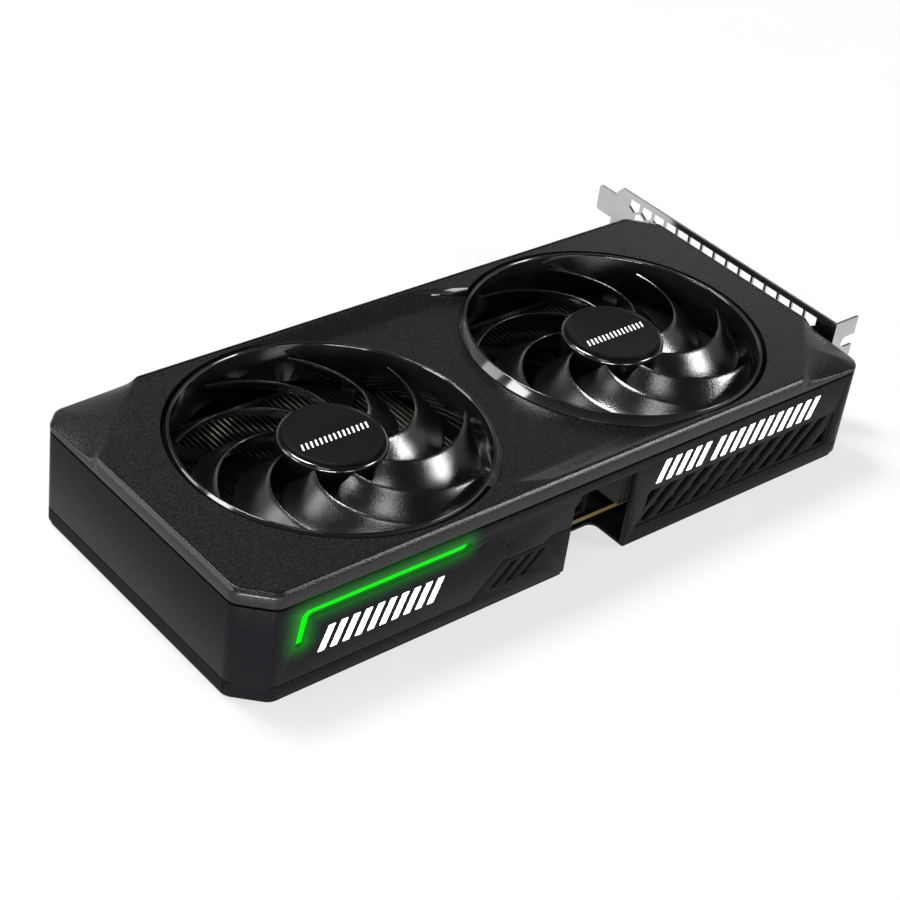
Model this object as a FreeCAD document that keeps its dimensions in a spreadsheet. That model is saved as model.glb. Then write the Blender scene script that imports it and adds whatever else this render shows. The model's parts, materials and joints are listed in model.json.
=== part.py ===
import FreeCAD, Part
import Sketcher
import math
import os

# A two-slot graphics card lying on its backplate.
# Frame: origin under the middle of the whole card, +X towards the bracket, +Y towards the edge
# connector, +Z up through the fans.  Inside this file places are given in card coordinates,
# which start at the tail end (x), the light bar's side (y) and the resting face (z), and
# place() moves them to the frame.

DIMENSIONS = {
    # outer shape
    "body_length": 256.0, "body_width": 111.0, "body_height": 40.0, "corner_cut": 9.5,
    "far_corner_cut": 6.0, "corner_round": 5.0, "nose_round": 6.5, "wall": 2.0,
    "seam_low": 34.2, "seam_high": 34.8, "bead": 1.1, "bead_groove": 0.5,
    "backplate_thickness": 1.0, "frame_low": 1.3,
    # the valley between the fans, and the two sloping corners
    "valley_depth": 3.3, "valley_run": 6.5, "rim": 3.0, "border_start": 34.8,
    "border_start_side": 44.0, "border_end": 15.6, "border_end_side": 52.4,
    "facet_drop": 3.5, "facet_reach": 18.0, "facet_start": 21.0, "facet_block": 60.0,
    # fans
    "fan_spacing": 118.8, "fan_offset": 69.6, "fan_side": 55.3, "ring_outer": 52.3,
    "ring_inner": 49.6, "ring_wall": 1.2, "ring_low": 25.3, "opening": 52.4, "blade_tip": 47.4,
    "hub_radius": 17.6, "hub_wall": 1.3, "hub_low": 26.9, "hub_top": 38.6, "disc_radius": 15.9,
    "disc_top": 39.7, "shaft_radius": 1.25, "bearing_bore": 1.28, "bearing_radius": 3.2,
    "fan_plate_low": 22.9, "fan_plate_high": 24.4, "arm_radius": 52.0, "arm_width": 5.0,
    # circuit board
    "board_low": 4.2, "board_thickness": 1.57, "board_start": 96.0, "board_end": 259.9,
    "board_side": 7.8, "board_edge": 110.7, "finger_height": 8.25, "key_offset": 57.15,
    "key_width": 1.9, "short_fingers": 11.65, "long_fingers": 71.65,
    # power bay
    "bay_start": 123.1, "bay_end": 149.4, "bay_height": 30.4, "bay_depth": 14.6, "board_relief": 15.0,
    "socket_width": 18.9, "socket_depth": 15.0, "socket_height": 11.4, "pin_pitch": 4.2,
    # display ports
    "port_depth": 17.5, "port_wall": 0.5, "port_width": 17.0, "port_height": 6.4,
    "wide_port_width": 15.0, "wide_port_height": 6.0,
    # heatsink
    "fin_pitch": 2.0, "fin_thickness": 0.4, "fin_low": 11.2, "fin_high": 22.0, "fin_side": 8.0,
    "fin_width": 94.0, "pipe_radius": 3.0, "pipe_height": 14.4, "pipe_pitch": 14.0,
    "pipe_start": 12.0, "pipe_length": 228.0, "plate_low": 7.9, "plate_high": 10.9,
    "plate_length": 70.0, "plate_width": 68.0,
    # bracket
    "bracket_face": 261.0, "bracket_sheet": 0.9, "bracket_side": 17.7, "bracket_length": 120.02,
    "bracket_low": 2.4, "bracket_width": 38.74, "flange_depth": 11.43, "slot_pitch": 20.32,
    "slot_height": 9.21, "tongue_width": 10.19, "tongue_length": 8.2, "notch_radius": 2.21,
    "notch_inset": 4.2, "vent_pitch": 6.4, "vent_radius": 3.15, "vent_row": 5.55,
    "vent_top": 2.2, "vent_start": 29.3,
    # slots in the near side
    "side_slot_pitch": 8.05, "side_slot_width": 4.4, "side_slot_low": 7.6,
    "side_slot_high": 19.1, "side_slot_start": 155.0, "field_start": 156.3,
    "field_end": 244.3, "small_slot_start": 91.2, "small_slot_pitch": 5.93,
    "small_slot_low": 7.7, "small_slot_high": 15.3, "small_slot_width": 2.75,
}

BLADES = 9
PHASES = {"fan_1": 58.8, "fan_2": 64.0}
# A blade's section, from the radius where the figures start to the one where they end
BLADE_START = 17.0
BLADE_RUN = 31.0
BLADE_CHORD = (33.0, -9.0)
BLADE_RISE = (9.6, -1.2)
BLADE_LOW = (27.4, 0.4)
BLADE_SAG = 1.3
BLADE_THICKNESS = 1.7
BAY_ROUND = 3.0
BAY_MOUTH_ROUND = 0.6
SIDE_SLOTS = 10
SMALL_SLOTS = 3
EXHAUSTS = 8
LAMPS = 8
PORTS = 3
WIDE_PORT = 30.5
PORT_START = 50.0
PORT_PITCH = 20.0
CHIP_X = 196.0
CHIP_Y = 62.0
COOLER_SCREW_REACH = 29.0
VENT_ROWS = 3
VENT_COLUMNS = 15
PIPES = 3
LEAD_PLACES = (22.8, 32.6)
BOARD_SCREWS = ((104.0, 24.0), (104.0, 98.0), (169.0, 14.0), (246.0, 14.0), (246.0, 98.0),
                (152.0, 98.0))
BRACKET_SCREWS = ((26.0, 16.8), (80.0, 16.8), (124.5, 22.0))
# How far a cutting tool runs past the face it opens
CLEAR = 1.0

doc = FreeCAD.newDocument("graphics_card")
sheet = doc.addObject("Spreadsheet::Sheet", "dims")
for row, (alias, number) in enumerate(DIMENSIONS.items(), start=1):
    sheet.set(f"A{row}", str(number))
    sheet.setAlias(f"A{row}", alias)
doc.recompute()


class Size:
    """A number that also knows the sheet formula it comes from."""

    def __init__(self, number, formula):
        self.number = number
        self.formula = formula

    def __float__(self):
        return float(self.number)

    def __add__(self, other):
        return Size(self.number + float(other), f"({self.formula} + {text(other)})")

    def __radd__(self, other):
        return Size(float(other) + self.number, f"({text(other)} + {self.formula})")

    def __sub__(self, other):
        return Size(self.number - float(other), f"({self.formula} - {text(other)})")

    def __rsub__(self, other):
        return Size(float(other) - self.number, f"({text(other)} - {self.formula})")

    def __mul__(self, other):
        return Size(self.number * float(other), f"({self.formula} * {text(other)})")

    def __rmul__(self, other):
        return Size(float(other) * self.number, f"({text(other)} * {self.formula})")

    def __truediv__(self, other):
        return Size(self.number / float(other), f"({self.formula} / {text(other)})")

    def __neg__(self):
        return Size(-self.number, f"(0 - {self.formula})")


def text(value):
    """The formula of a size, or a plain number written out."""
    if isinstance(value, Size):
        return value.formula
    return f"({float(value):.6f})"


class Sizes:
    """The sheet's cells as sizes, by alias."""

    def __getattr__(self, alias):
        return Size(float(sheet.get(alias)), f"dims.{alias}")


d = Sizes()
ZERO = Size(0.0, "0")

BRACKET_INNER = d.bracket_face - d.bracket_sheet
BRACKET_FAR = d.bracket_side + d.bracket_length
MIDDLE_X = (BRACKET_INNER + d.flange_depth) / 2
MIDDLE_Y = BRACKET_FAR / 2
BOARD_HIGH = d.board_low + d.board_thickness
SOCKET_MIDDLE = (d.bay_start + d.bay_end) / 2
FANS = {"fan_1": d.fan_offset, "fan_2": d.fan_offset + d.fan_spacing}


# ---------------------------------------------------------------- building helpers

def bind(thing, path, value):
    """Set one property of an object to a size, through the sheet."""
    thing.setExpression(path, text(value))


def place(thing, x, y, z):
    """Put an object's corner or centre at card coordinates."""
    bind(thing, "Placement.Base.x", x - MIDDLE_X)
    bind(thing, "Placement.Base.y", y - MIDDLE_Y)
    bind(thing, "Placement.Base.z", z)


def box(name, low, size):
    """A block from its lowest corner and its three sides."""
    made = doc.addObject("Part::Box", name)
    for path, value in zip(("Length", "Width", "Height"), size):
        bind(made, path, value)
    place(made, *low)
    return made


TURNS = {
    "Z": FreeCAD.Rotation(),
    "X": FreeCAD.Rotation(FreeCAD.Vector(0, 1, 0), 90),
    "Y": FreeCAD.Rotation(FreeCAD.Vector(1, 0, 0), -90),
    "-X": FreeCAD.Rotation(FreeCAD.Vector(0, 1, 0), -90),
    "-Y": FreeCAD.Rotation(FreeCAD.Vector(1, 0, 0), 90),
    "-Z": FreeCAD.Rotation(FreeCAD.Vector(1, 0, 0), 180),
}


def rod(name, radius, length, base, axis="Z"):
    """A round bar from the centre of its first end, running along an axis."""
    made = doc.addObject("Part::Cylinder", name)
    made.Placement = FreeCAD.Placement(FreeCAD.Vector(), TURNS[axis])
    bind(made, "Radius", radius)
    bind(made, "Height", length)
    place(made, *base)
    return made


def cone(name, radius_low, radius_high, length, base, axis="Z"):
    """A tapered bar from the centre of its first end."""
    made = doc.addObject("Part::Cone", name)
    made.Placement = FreeCAD.Placement(FreeCAD.Vector(), TURNS[axis])
    bind(made, "Radius1", radius_low)
    bind(made, "Radius2", radius_high)
    bind(made, "Height", length)
    place(made, *base)
    return made


def joined(name, members):
    """Several objects melted into one solid."""
    made = doc.addObject("Part::MultiFuse", name)
    made.Shapes = members
    made.Refine = True
    return made


def grouped(name, members):
    """Several separate solids in one node."""
    made = doc.addObject("Part::Compound", name)
    made.Links = members
    return made


def cut(name, base, tools):
    """A base with one or more tools taken out of it."""
    made = doc.addObject("Part::Cut", name)
    made.Base = base
    if len(tools) > 1:
        made.Tool = joined(f"{name}_tools", tools)
    else:
        made.Tool = tools[0]
    return made


def common(name, first, second):
    """What two objects share."""
    made = doc.addObject("Part::Common", name)
    made.Base = first
    made.Tool = second
    return made


def plane_of(body, role):
    """One of a body's own origin planes."""
    return next(item for item in body.Origin.OriginFeatures if item.Role == role)


def draw(sketch, corners):
    """Draw a closed polygon in a sketch, with each corner's place read from the sheet."""
    count = len(corners)
    points = [FreeCAD.Vector(float(u), float(v), 0) for u, v in corners]
    first = sketch.GeometryCount
    for index in range(count):
        sketch.addGeometry(Part.LineSegment(points[index], points[(index + 1) % count]), False)
    for index in range(count):
        following = first + (index + 1) % count
        sketch.addConstraint(Sketcher.Constraint("Coincident", first + index, 2, following, 1))
    for index, (u, v) in enumerate(corners):
        for kind, value in (("DistanceX", u), ("DistanceY", v)):
            number = sketch.addConstraint(
                Sketcher.Constraint(kind, -1, 1, first + index, 1, float(value)))
            sketch.setExpression(f"Constraints[{number}]", text(value))


def sketch_on(body, role, height, name):
    """A new sketch on a plane parallel to one of the body's origin planes."""
    sketch = body.newObject("Sketcher::SketchObject", name)
    sketch.AttachmentSupport = [(plane_of(body, role), "")]
    sketch.MapMode = "FlatFace"
    bind(sketch, "AttachmentOffset.Base.z", height)
    return sketch


def slab(name, corners, low, thickness):
    """A plate of any outline, lying flat: corners are (x, y) in card coordinates."""
    body = doc.addObject("PartDesign::Body", name)
    sketch = sketch_on(body, "XY_Plane", low, f"{name}_outline")
    draw(sketch, [(x - MIDDLE_X, y - MIDDLE_Y) for x, y in corners])
    pad = body.newObject("PartDesign::Pad", f"{name}_pad")
    pad.Profile = sketch
    bind(pad, "Length", thickness)
    return body


def wall_plate(name, corners, low, thickness):
    """A plate that stands across X: corners are (y, z) in card coordinates, low is its x."""
    body = doc.addObject("PartDesign::Body", name)
    sketch = sketch_on(body, "YZ_Plane", low - MIDDLE_X, f"{name}_outline")
    draw(sketch, [(y - MIDDLE_Y, z) for y, z in corners])
    pad = body.newObject("PartDesign::Pad", f"{name}_pad")
    pad.Profile = sketch
    bind(pad, "Length", thickness)
    return body


def side_plate(name, corners, front, depth):
    """A plate that stands across Y: corners are (x, z), front is its lowest y."""
    body = doc.addObject("PartDesign::Body", name)
    sketch = sketch_on(body, "XZ_Plane", MIDDLE_Y - front, f"{name}_outline")
    draw(sketch, [(x - MIDDLE_X, z) for x, z in corners])
    pad = body.newObject("PartDesign::Pad", f"{name}_pad")
    pad.Profile = sketch
    pad.Reversed = True
    bind(pad, "Length", depth)
    return body


def turned(name, profile, centre_x, centre_y):
    """A solid of revolution about a vertical axis: profile is (radius, z)."""
    body = doc.addObject("PartDesign::Body", name)
    sketch = body.newObject("Sketcher::SketchObject", f"{name}_profile")
    sketch.AttachmentSupport = [(plane_of(body, "XZ_Plane"), "")]
    sketch.MapMode = "FlatFace"
    draw(sketch, [(r, z) for r, z in profile])
    spin = body.newObject("PartDesign::Revolution", f"{name}_turn")
    spin.Profile = sketch
    spin.ReferenceAxis = (sketch, ["V_Axis"])
    spin.Angle = 360.0
    bind(body, "Placement.Base.x", centre_x - MIDDLE_X)
    bind(body, "Placement.Base.y", centre_y - MIDDLE_Y)
    return body


def upright(edge):
    """True for a straight edge along Z."""
    box_of = edge.BoundBox
    return box_of.ZLength > 0.5 and box_of.XLength < 1e-6 and box_of.YLength < 1e-6


def around(count, radius, start=0.0):
    """Evenly spaced places on a circle, as sizes."""
    for index in range(count):
        angle = math.radians(start + 360.0 * index / count)
        yield radius * math.cos(angle), radius * math.sin(angle)


nodes = {}


def keep(label, made):
    """Name a finished sub-part."""
    made.Label = label
    nodes[label] = made
    return made


# ---------------------------------------------------------------- shroud

def body_outline(inset=0.0):
    """The card's outline seen from above: three corners cut off, the nose corner left square."""
    far_x = d.body_length - inset
    far_y = d.body_width - inset
    cut_by = d.corner_cut
    small_cut = d.far_corner_cut
    low = ZERO + inset
    return [
        (low + cut_by, low), (far_x, low), (far_x, far_y - cut_by), (far_x - cut_by, far_y),
        (low + small_cut, far_y), (low, far_y - small_cut), (low, low + cut_by),
    ]


def corner_radius(middle):
    """The radius of an upright edge of the outline, from where its middle is."""
    away_x = middle.x - float(d.body_length - MIDDLE_X)
    away_y = middle.y - float(0 - MIDDLE_Y)
    at_nose = math.hypot(away_x, away_y) < 4.0 * float(d.wall)
    return float(d.nose_round if at_nose else d.corner_round)


def block_outline(name, inset, low, thickness):
    """A solid of the card's outline with rounded upright edges, the nose corner's the largest."""
    body = slab(name, body_outline(inset), low, thickness)
    doc.recompute()
    edges = []
    for index, edge in enumerate(body.Shape.Edges, start=1):
        if upright(edge):
            radius = corner_radius(edge.BoundBox.Center)
            edges.append((index, radius, radius))
    made = doc.addObject("Part::Fillet", f"{name}_round")
    made.Base = body
    made.Edges = edges
    return made


def top_edge(edge):
    """True for an edge of the cover's top rim."""
    return edge.BoundBox.ZMin > float(d.body_height) - 1e-6


def corner_facet(name, corner_x, corner_y, side):
    """A tilted block whose lower face slopes one corner of the cover; side is -1 for the nose."""
    facet = doc.addObject("Part::Box", name)
    for path, value in (("Length", d.facet_block), ("Width", d.facet_block),
                        ("Height", d.facet_block / 5)):
        bind(facet, path, value)
    tilt = math.degrees(math.atan2(float(d.facet_drop), float(d.facet_reach)))
    facet.Placement = FreeCAD.Placement(
        FreeCAD.Vector(), FreeCAD.Rotation(FreeCAD.Vector(0, 0, 1), 45.0 + 90.0 * side)
        * FreeCAD.Rotation(FreeCAD.Vector(0, 1, 0), tilt))
    diagonal = math.sqrt(0.5)
    reach = d.facet_start * diagonal * side
    across = d.facet_block / 2 * diagonal * side
    place(facet, corner_x + reach + across, corner_y - reach + across, d.body_height)
    return facet


def make_cover():
    """The textured top: a bead round the edge, two raised fan fields and a valley between."""
    thickness = d.body_height - d.seam_high
    shell = block_outline("cover_block", 0.0, d.seam_high, thickness)
    doc.recompute()
    rim = [index for index, edge in enumerate(shell.Shape.Edges, start=1) if top_edge(edge)]
    bead = doc.addObject("Part::Chamfer", "cover_bead")
    bead.Base = shell
    bead.Edges = [(index, float(d.bead), float(d.bead)) for index in rim]

    groove_depth = d.bead_groove
    groove_low = d.body_height - groove_depth
    groove_outer = block_outline("groove_outer", d.bead + 0.2, groove_low, groove_depth + 1)
    groove_inner = block_outline("groove_inner", d.bead + 0.8, groove_low - 1, groove_depth + 3)
    groove = cut("cover_groove", groove_outer, [groove_inner])
    lip_outer = block_outline("lip_outer", d.wall + 0.05, d.seam_low - 2.2, 3.0)
    lip_inner = block_outline("lip_inner", d.wall + 1.4, d.seam_low - 3.2, 5.0)
    lip = cut("cover_lip", lip_outer, [lip_inner])

    openings = [rod(f"{fan}_opening", d.opening, thickness + 2, (x, d.fan_side, d.seam_high - 1))
                for fan, x in FANS.items()]

    # The valley: its floor is level, and it climbs to a rim along both long sides.
    floor = d.body_height - d.valley_depth
    far = d.body_width
    high = d.body_height + 2
    section = [(d.rim, high), (d.rim, d.body_height - 0.3), (d.rim + d.valley_run, floor),
               (far - d.rim - d.valley_run, floor), (far - d.rim, d.body_height - 0.3),
               (far - d.rim, high)]
    trough = wall_plate("trough", section, d.fan_offset, d.fan_spacing)
    middle = d.fan_offset + d.fan_spacing / 2
    start_x = d.border_start
    start_y = d.border_start_side
    bend_x = d.border_end
    bend_y = d.border_end_side
    half = d.fan_spacing / 2
    side = d.fan_side
    fields = [
        (middle - half, side), (middle - start_x, side - start_y), (middle - bend_x, side - bend_y),
        (middle + half, side - bend_y), (middle + half, side), (middle + start_x, side + start_y),
        (middle + bend_x, side + bend_y), (middle - half, side + bend_y),
    ]
    limits = slab("valley_limits", fields, floor - 1, d.valley_depth + 4)
    valley = common("valley", trough, limits)

    facets = [corner_facet("nose_facet", d.body_length, ZERO, -1.0),
              corner_facet("tail_facet", ZERO, far, 1.0)]
    solid = joined("cover_solid", [bead, lip])
    keep("top_cover", cut("top_cover_cut", solid, [groove, valley, *openings, *facets]))


def make_ring(fan, x):
    """A glossy duct ring round one fan, with four bosses for the fan frame's screws."""
    inner = d.ring_inner
    outer = d.ring_outer
    flange_low = d.seam_high + 0.2
    top = d.body_height
    profile = [
        (inner, d.ring_low), (inner + d.ring_wall, d.ring_low), (inner + d.ring_wall, flange_low),
        (outer, flange_low), (outer, top - 2.2), (outer - 0.8, top - 0.5), (outer - 1.5, top),
        (inner + 0.7, top), (inner + 0.2, top - 0.3), (inner, top - 0.8),
    ]
    duct = turned(f"{fan}_duct", profile, x, d.fan_side)
    bosses = []
    for index, (u, v) in enumerate(around(4, d.arm_radius, 45.0)):
        boss = rod(f"{fan}_boss_{index}", 2.2, d.seam_high - d.ring_low,
                   (x + u, d.fan_side + v, d.ring_low))
        bosses.append(boss)
    holes = [rod(f"{fan}_boss_hole_{index}", 0.8, 6.0, (x + u, d.fan_side + v, d.ring_low - 1))
             for index, (u, v) in enumerate(around(4, d.arm_radius, 45.0))]
    throat = rod(f"{fan}_throat", inner, 20.0, (x, d.fan_side, d.ring_low - 2))
    keep(f"{fan}_ring", cut(f"{fan}_ring_cut", joined(f"{fan}_ring_solid", [duct, *bosses]),
                            [*holes, throat]))


def slanted(name, start_x, low, high, width, front, depth):
    """A slot that leans to the right, cut into the light bar's side."""
    lean = high - low
    corners = [(start_x, low), (start_x + width, low), (start_x + width + lean, high),
               (start_x + lean, high)]
    return side_plate(name, corners, front, depth)


def make_frame():
    """The side frame: four walls with vents, the power bay and openings at the bracket end."""
    height = d.seam_low - d.frame_low
    outer = block_outline("frame_outer", 0.0, d.frame_low, height)
    inner = block_outline("frame_inner", d.wall, d.frame_low - 1, height + 2)
    length = d.body_length
    width = d.body_width
    bay = box("bay_cut", (d.bay_start, -1.0, -1.0),
              (d.bay_end - d.bay_start, d.wall + 2, d.bay_height + 1))
    slots = [slanted(f"small_slot_{index}", d.small_slot_start + d.small_slot_pitch * index,
                     d.small_slot_low, d.small_slot_high, d.small_slot_width, -0.5, d.wall + 1)
             for index in range(SMALL_SLOTS)]
    low = d.side_slot_low
    high = d.side_slot_high
    leaning = [slanted(f"side_slot_{index}", d.side_slot_start + d.side_slot_pitch * index,
                       low, high, d.side_slot_width, -0.5, d.wall + 1)
               for index in range(-1, SIDE_SLOTS)]
    field = box("slot_field", (d.field_start, -1.0, low),
                (d.field_end - d.field_start, d.wall + 2, high - low))
    vents = common("side_slots", joined("side_slot_row", leaning), field)
    end_slot = side_plate("end_slot", [(d.field_end - 6.0, low), (d.field_end + 0.6, low),
                                       (d.field_end + 0.6, low + 6.2)], -0.5, d.wall + 1)
    light = side_plate("light_cut", light_outline(0.15), -0.5, d.wall + 1)
    board_slot = box("board_slot", (d.board_start - 2, width - 8, 0.0),
                     (length - d.board_start + 10, 11.0, 9.4))
    port_window = box("port_window", (length - 6, 6.5, 0.0), (8.0, 102.0, 19.5))
    exhausts = [box(f"exhaust_{index}", (length - 6, 16.0 + 11.5 * index, 22.0), (8.0, 8.0, 9.0))
                for index in range(EXHAUSTS)]
    keep("side_frame", cut("side_frame_cut", outer, [inner, bay, light, board_slot, port_window,
                                                    *slots, vents, end_slot, *exhausts]))


def light_outline(gap=0.0):
    """The light bar's outline on the side: a long run with a short leg turned down at its end."""
    g = gap
    return [
        (16.5 - g, 18.4 - g), (19.8 + g, 17.2 - g), (19.8 + g, 26.9 - g), (80.0 + g, 26.9 - g),
        (82.0 + g, 30.2 + g), (18.4 - g, 30.2 + g), (16.5 - g, 28.4 + g),
    ]


def make_light():
    """The light bar: a clear moulding in the wall, and the lamp strip behind it."""
    keep("light_bar", side_plate("light_bar_body", light_outline(), 0.5, d.wall - 0.5))
    strip = box("strip_board", (22.0, d.wall + 1.0, 24.5), (58.0, 0.7, 7.0))
    lamps = [box(f"lamp_{index}", (24.5 + 7.5 * index, d.wall + 0.05, 27.2), (3.5, 0.95, 2.6))
             for index in range(LAMPS)]
    keep("lamp_strip", strip)
    keep("lamps", grouped("lamp_group", lamps))


def make_backplate():
    """The metal backplate, with a bay notch and an open grille past the board's end."""
    notch = d.bay_depth + 0.5
    inset = 0.6
    corners = body_outline(inset)
    bay = [(d.bay_start - 0.3, corners[0][1]), (d.bay_start - 0.3, notch),
           (d.bay_end + 0.3, notch), (d.bay_end + 0.3, corners[0][1])]
    corners = [corners[0], *bay, *corners[1:]]
    sheet_metal = slab("backplate_sheet", corners, 0.0, d.backplate_thickness)
    doc.recompute()
    plate = doc.addObject("Part::Fillet", "backplate_round")
    plate.Base = sheet_metal
    edges = []
    for index, edge in enumerate(sheet_metal.Shape.Edges, start=1):
        if not upright(edge):
            continue
        middle = edge.BoundBox.Center
        from_bay = abs(middle.x - float(SOCKET_MIDDLE - MIDDLE_X))
        if from_bay < float(d.bay_end - d.bay_start):
            radius = BAY_ROUND if middle.y > float(notch - MIDDLE_Y) - 1e-6 else BAY_MOUTH_ROUND
        else:
            radius = corner_radius(middle)
        edges.append((index, radius, radius))
    plate.Edges = edges
    grille = []
    for index in range(7):
        low_x = 14.0 + 10.5 * index
        points = [(low_x, 22.0), (low_x + 5.5, 22.0), (low_x + 17.5, 88.0), (low_x + 12.0, 88.0)]
        grille.append(slab(f"grille_slot_{index}", points, -1.0, 4.0))
    holes = [rod(f"backplate_hole_{index}", 1.6, 4.0, (x, y, -1.0))
             for index, (x, y) in enumerate(BOARD_SCREWS)]
    keep("backplate", cut("backplate_cut", plate, [*grille, *holes]))


# ---------------------------------------------------------------- fans

def blade_angle(radius):
    """How far round the top edge of a blade has swept at a radius, in degrees."""
    past = radius - 20.0
    return 1.45 * past + 0.016 * past * past


def blade_section(radius, thickness):
    """A curved section of a blade on a cylinder of one radius, as a closed wire."""
    share = (radius - BLADE_START) / BLADE_RUN
    chord, rise, low = (first + change * share
                        for first, change in (BLADE_CHORD, BLADE_RISE, BLADE_LOW))
    upper = []
    lower = []
    steps = 8
    for index in range(steps + 1):
        along = index / steps
        angle = math.radians(blade_angle(radius) - chord * along)
        height = low + rise * (1.0 - along) - BLADE_SAG * math.sin(math.pi * along)
        half = thickness * (0.28 + 0.22 * math.sin(math.pi * along))
        x = radius * math.cos(angle)
        y = radius * math.sin(angle)
        upper.append(FreeCAD.Vector(x, y, height + half))
        lower.append(FreeCAD.Vector(x, y, height - half))
    top = Part.BSplineCurve()
    top.interpolate(upper)
    bottom = Part.BSplineCurve()
    bottom.interpolate(list(reversed(lower)))
    edges = [top.toShape(), Part.makeLine(upper[-1], lower[-1]), bottom.toShape(),
             Part.makeLine(lower[0], upper[0])]
    return Part.Wire(edges)


def blade_shape():
    """One blade: a loft outward from inside the hub's wall, trimmed to the tip circle."""
    root = float(d.hub_radius) - 0.9
    tip = float(d.blade_tip)
    stations = [root + (tip + 1.0 - root) * index / 6 for index in range(7)]
    sections = [blade_section(radius, BLADE_THICKNESS) for radius in stations]
    loft = Part.makeLoft(sections, True, False)
    limit = Part.makeCylinder(tip, 30.0, FreeCAD.Vector(0, 0, 15))
    return loft.common(limit)


def make_rotor(fan, x, phase):
    """The turning part of a fan: the hub cup with its blades, magnet, shaft and cover disc."""
    outer = d.hub_radius
    inner = outer - d.hub_wall
    top = d.hub_top
    roof = top - 1.8
    boss = d.shaft_radius + 1.6
    profile = [
        (d.shaft_radius, roof - 1.6), (boss, roof - 1.6), (boss, roof), (inner, roof),
        (inner, d.hub_low), (outer, d.hub_low), (outer, top - 1.6), (outer - 0.5, top - 0.5),
        (outer - 1.6, top), (d.shaft_radius, top),
    ]
    cup = turned(f"{fan}_cup", profile, x, d.fan_side)
    doc.recompute()
    one = blade_shape()
    centre = FreeCAD.Vector(float(x - MIDDLE_X), float(d.fan_side - MIDDLE_Y), 0)
    blades = []
    for index in range(BLADES):
        turned_blade = one.copy()
        turned_blade.rotate(FreeCAD.Vector(), FreeCAD.Vector(0, 0, 1),
                            phase + 360.0 * index / BLADES)
        turned_blade.translate(centre)
        blades.append(turned_blade)
    moulded = cup.Shape.fuse(blades)
    core = Part.makeCylinder(float(inner), float(roof - d.hub_low) + 1.0,
                             centre + FreeCAD.Vector(0, 0, float(d.hub_low) - 1.0))
    pip = Part.makeCylinder(float(boss), 1.6, centre + FreeCAD.Vector(0, 0, float(roof) - 1.6))
    bore = Part.makeCylinder(float(d.shaft_radius), 20.0,
                             centre + FreeCAD.Vector(0, 0, float(roof) - 10.0))
    moulded = moulded.cut(core.cut(pip)).cut(bore)
    rotor = doc.addObject("Part::Feature", f"{fan}_rotor_shape")
    rotor.Shape = moulded
    keep(f"{fan}_rotor", rotor)
    doc.removeObject(cup.Name)

    keep(f"{fan}_disc", turned(f"{fan}_disc_body", [
        (0.0, top), (d.disc_radius, top), (d.disc_radius, d.disc_top - 0.3),
        (d.disc_radius - 0.3, d.disc_top), (0.0, d.disc_top)], x, d.fan_side))
    magnet_outer = rod(f"{fan}_magnet_outer", inner, 7.0, (x, d.fan_side, d.hub_low + 0.3))
    magnet_inner = rod(f"{fan}_magnet_inner", inner - 1.7, 9.0, (x, d.fan_side, d.hub_low - 0.7))
    keep(f"{fan}_magnet", cut(f"{fan}_magnet_cut", magnet_outer, [magnet_inner]))
    shaft_low = d.fan_plate_high + 0.8
    keep(f"{fan}_shaft", rod(f"{fan}_shaft_rod", d.shaft_radius, top - shaft_low,
                             (x, d.fan_side, shaft_low)))


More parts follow.
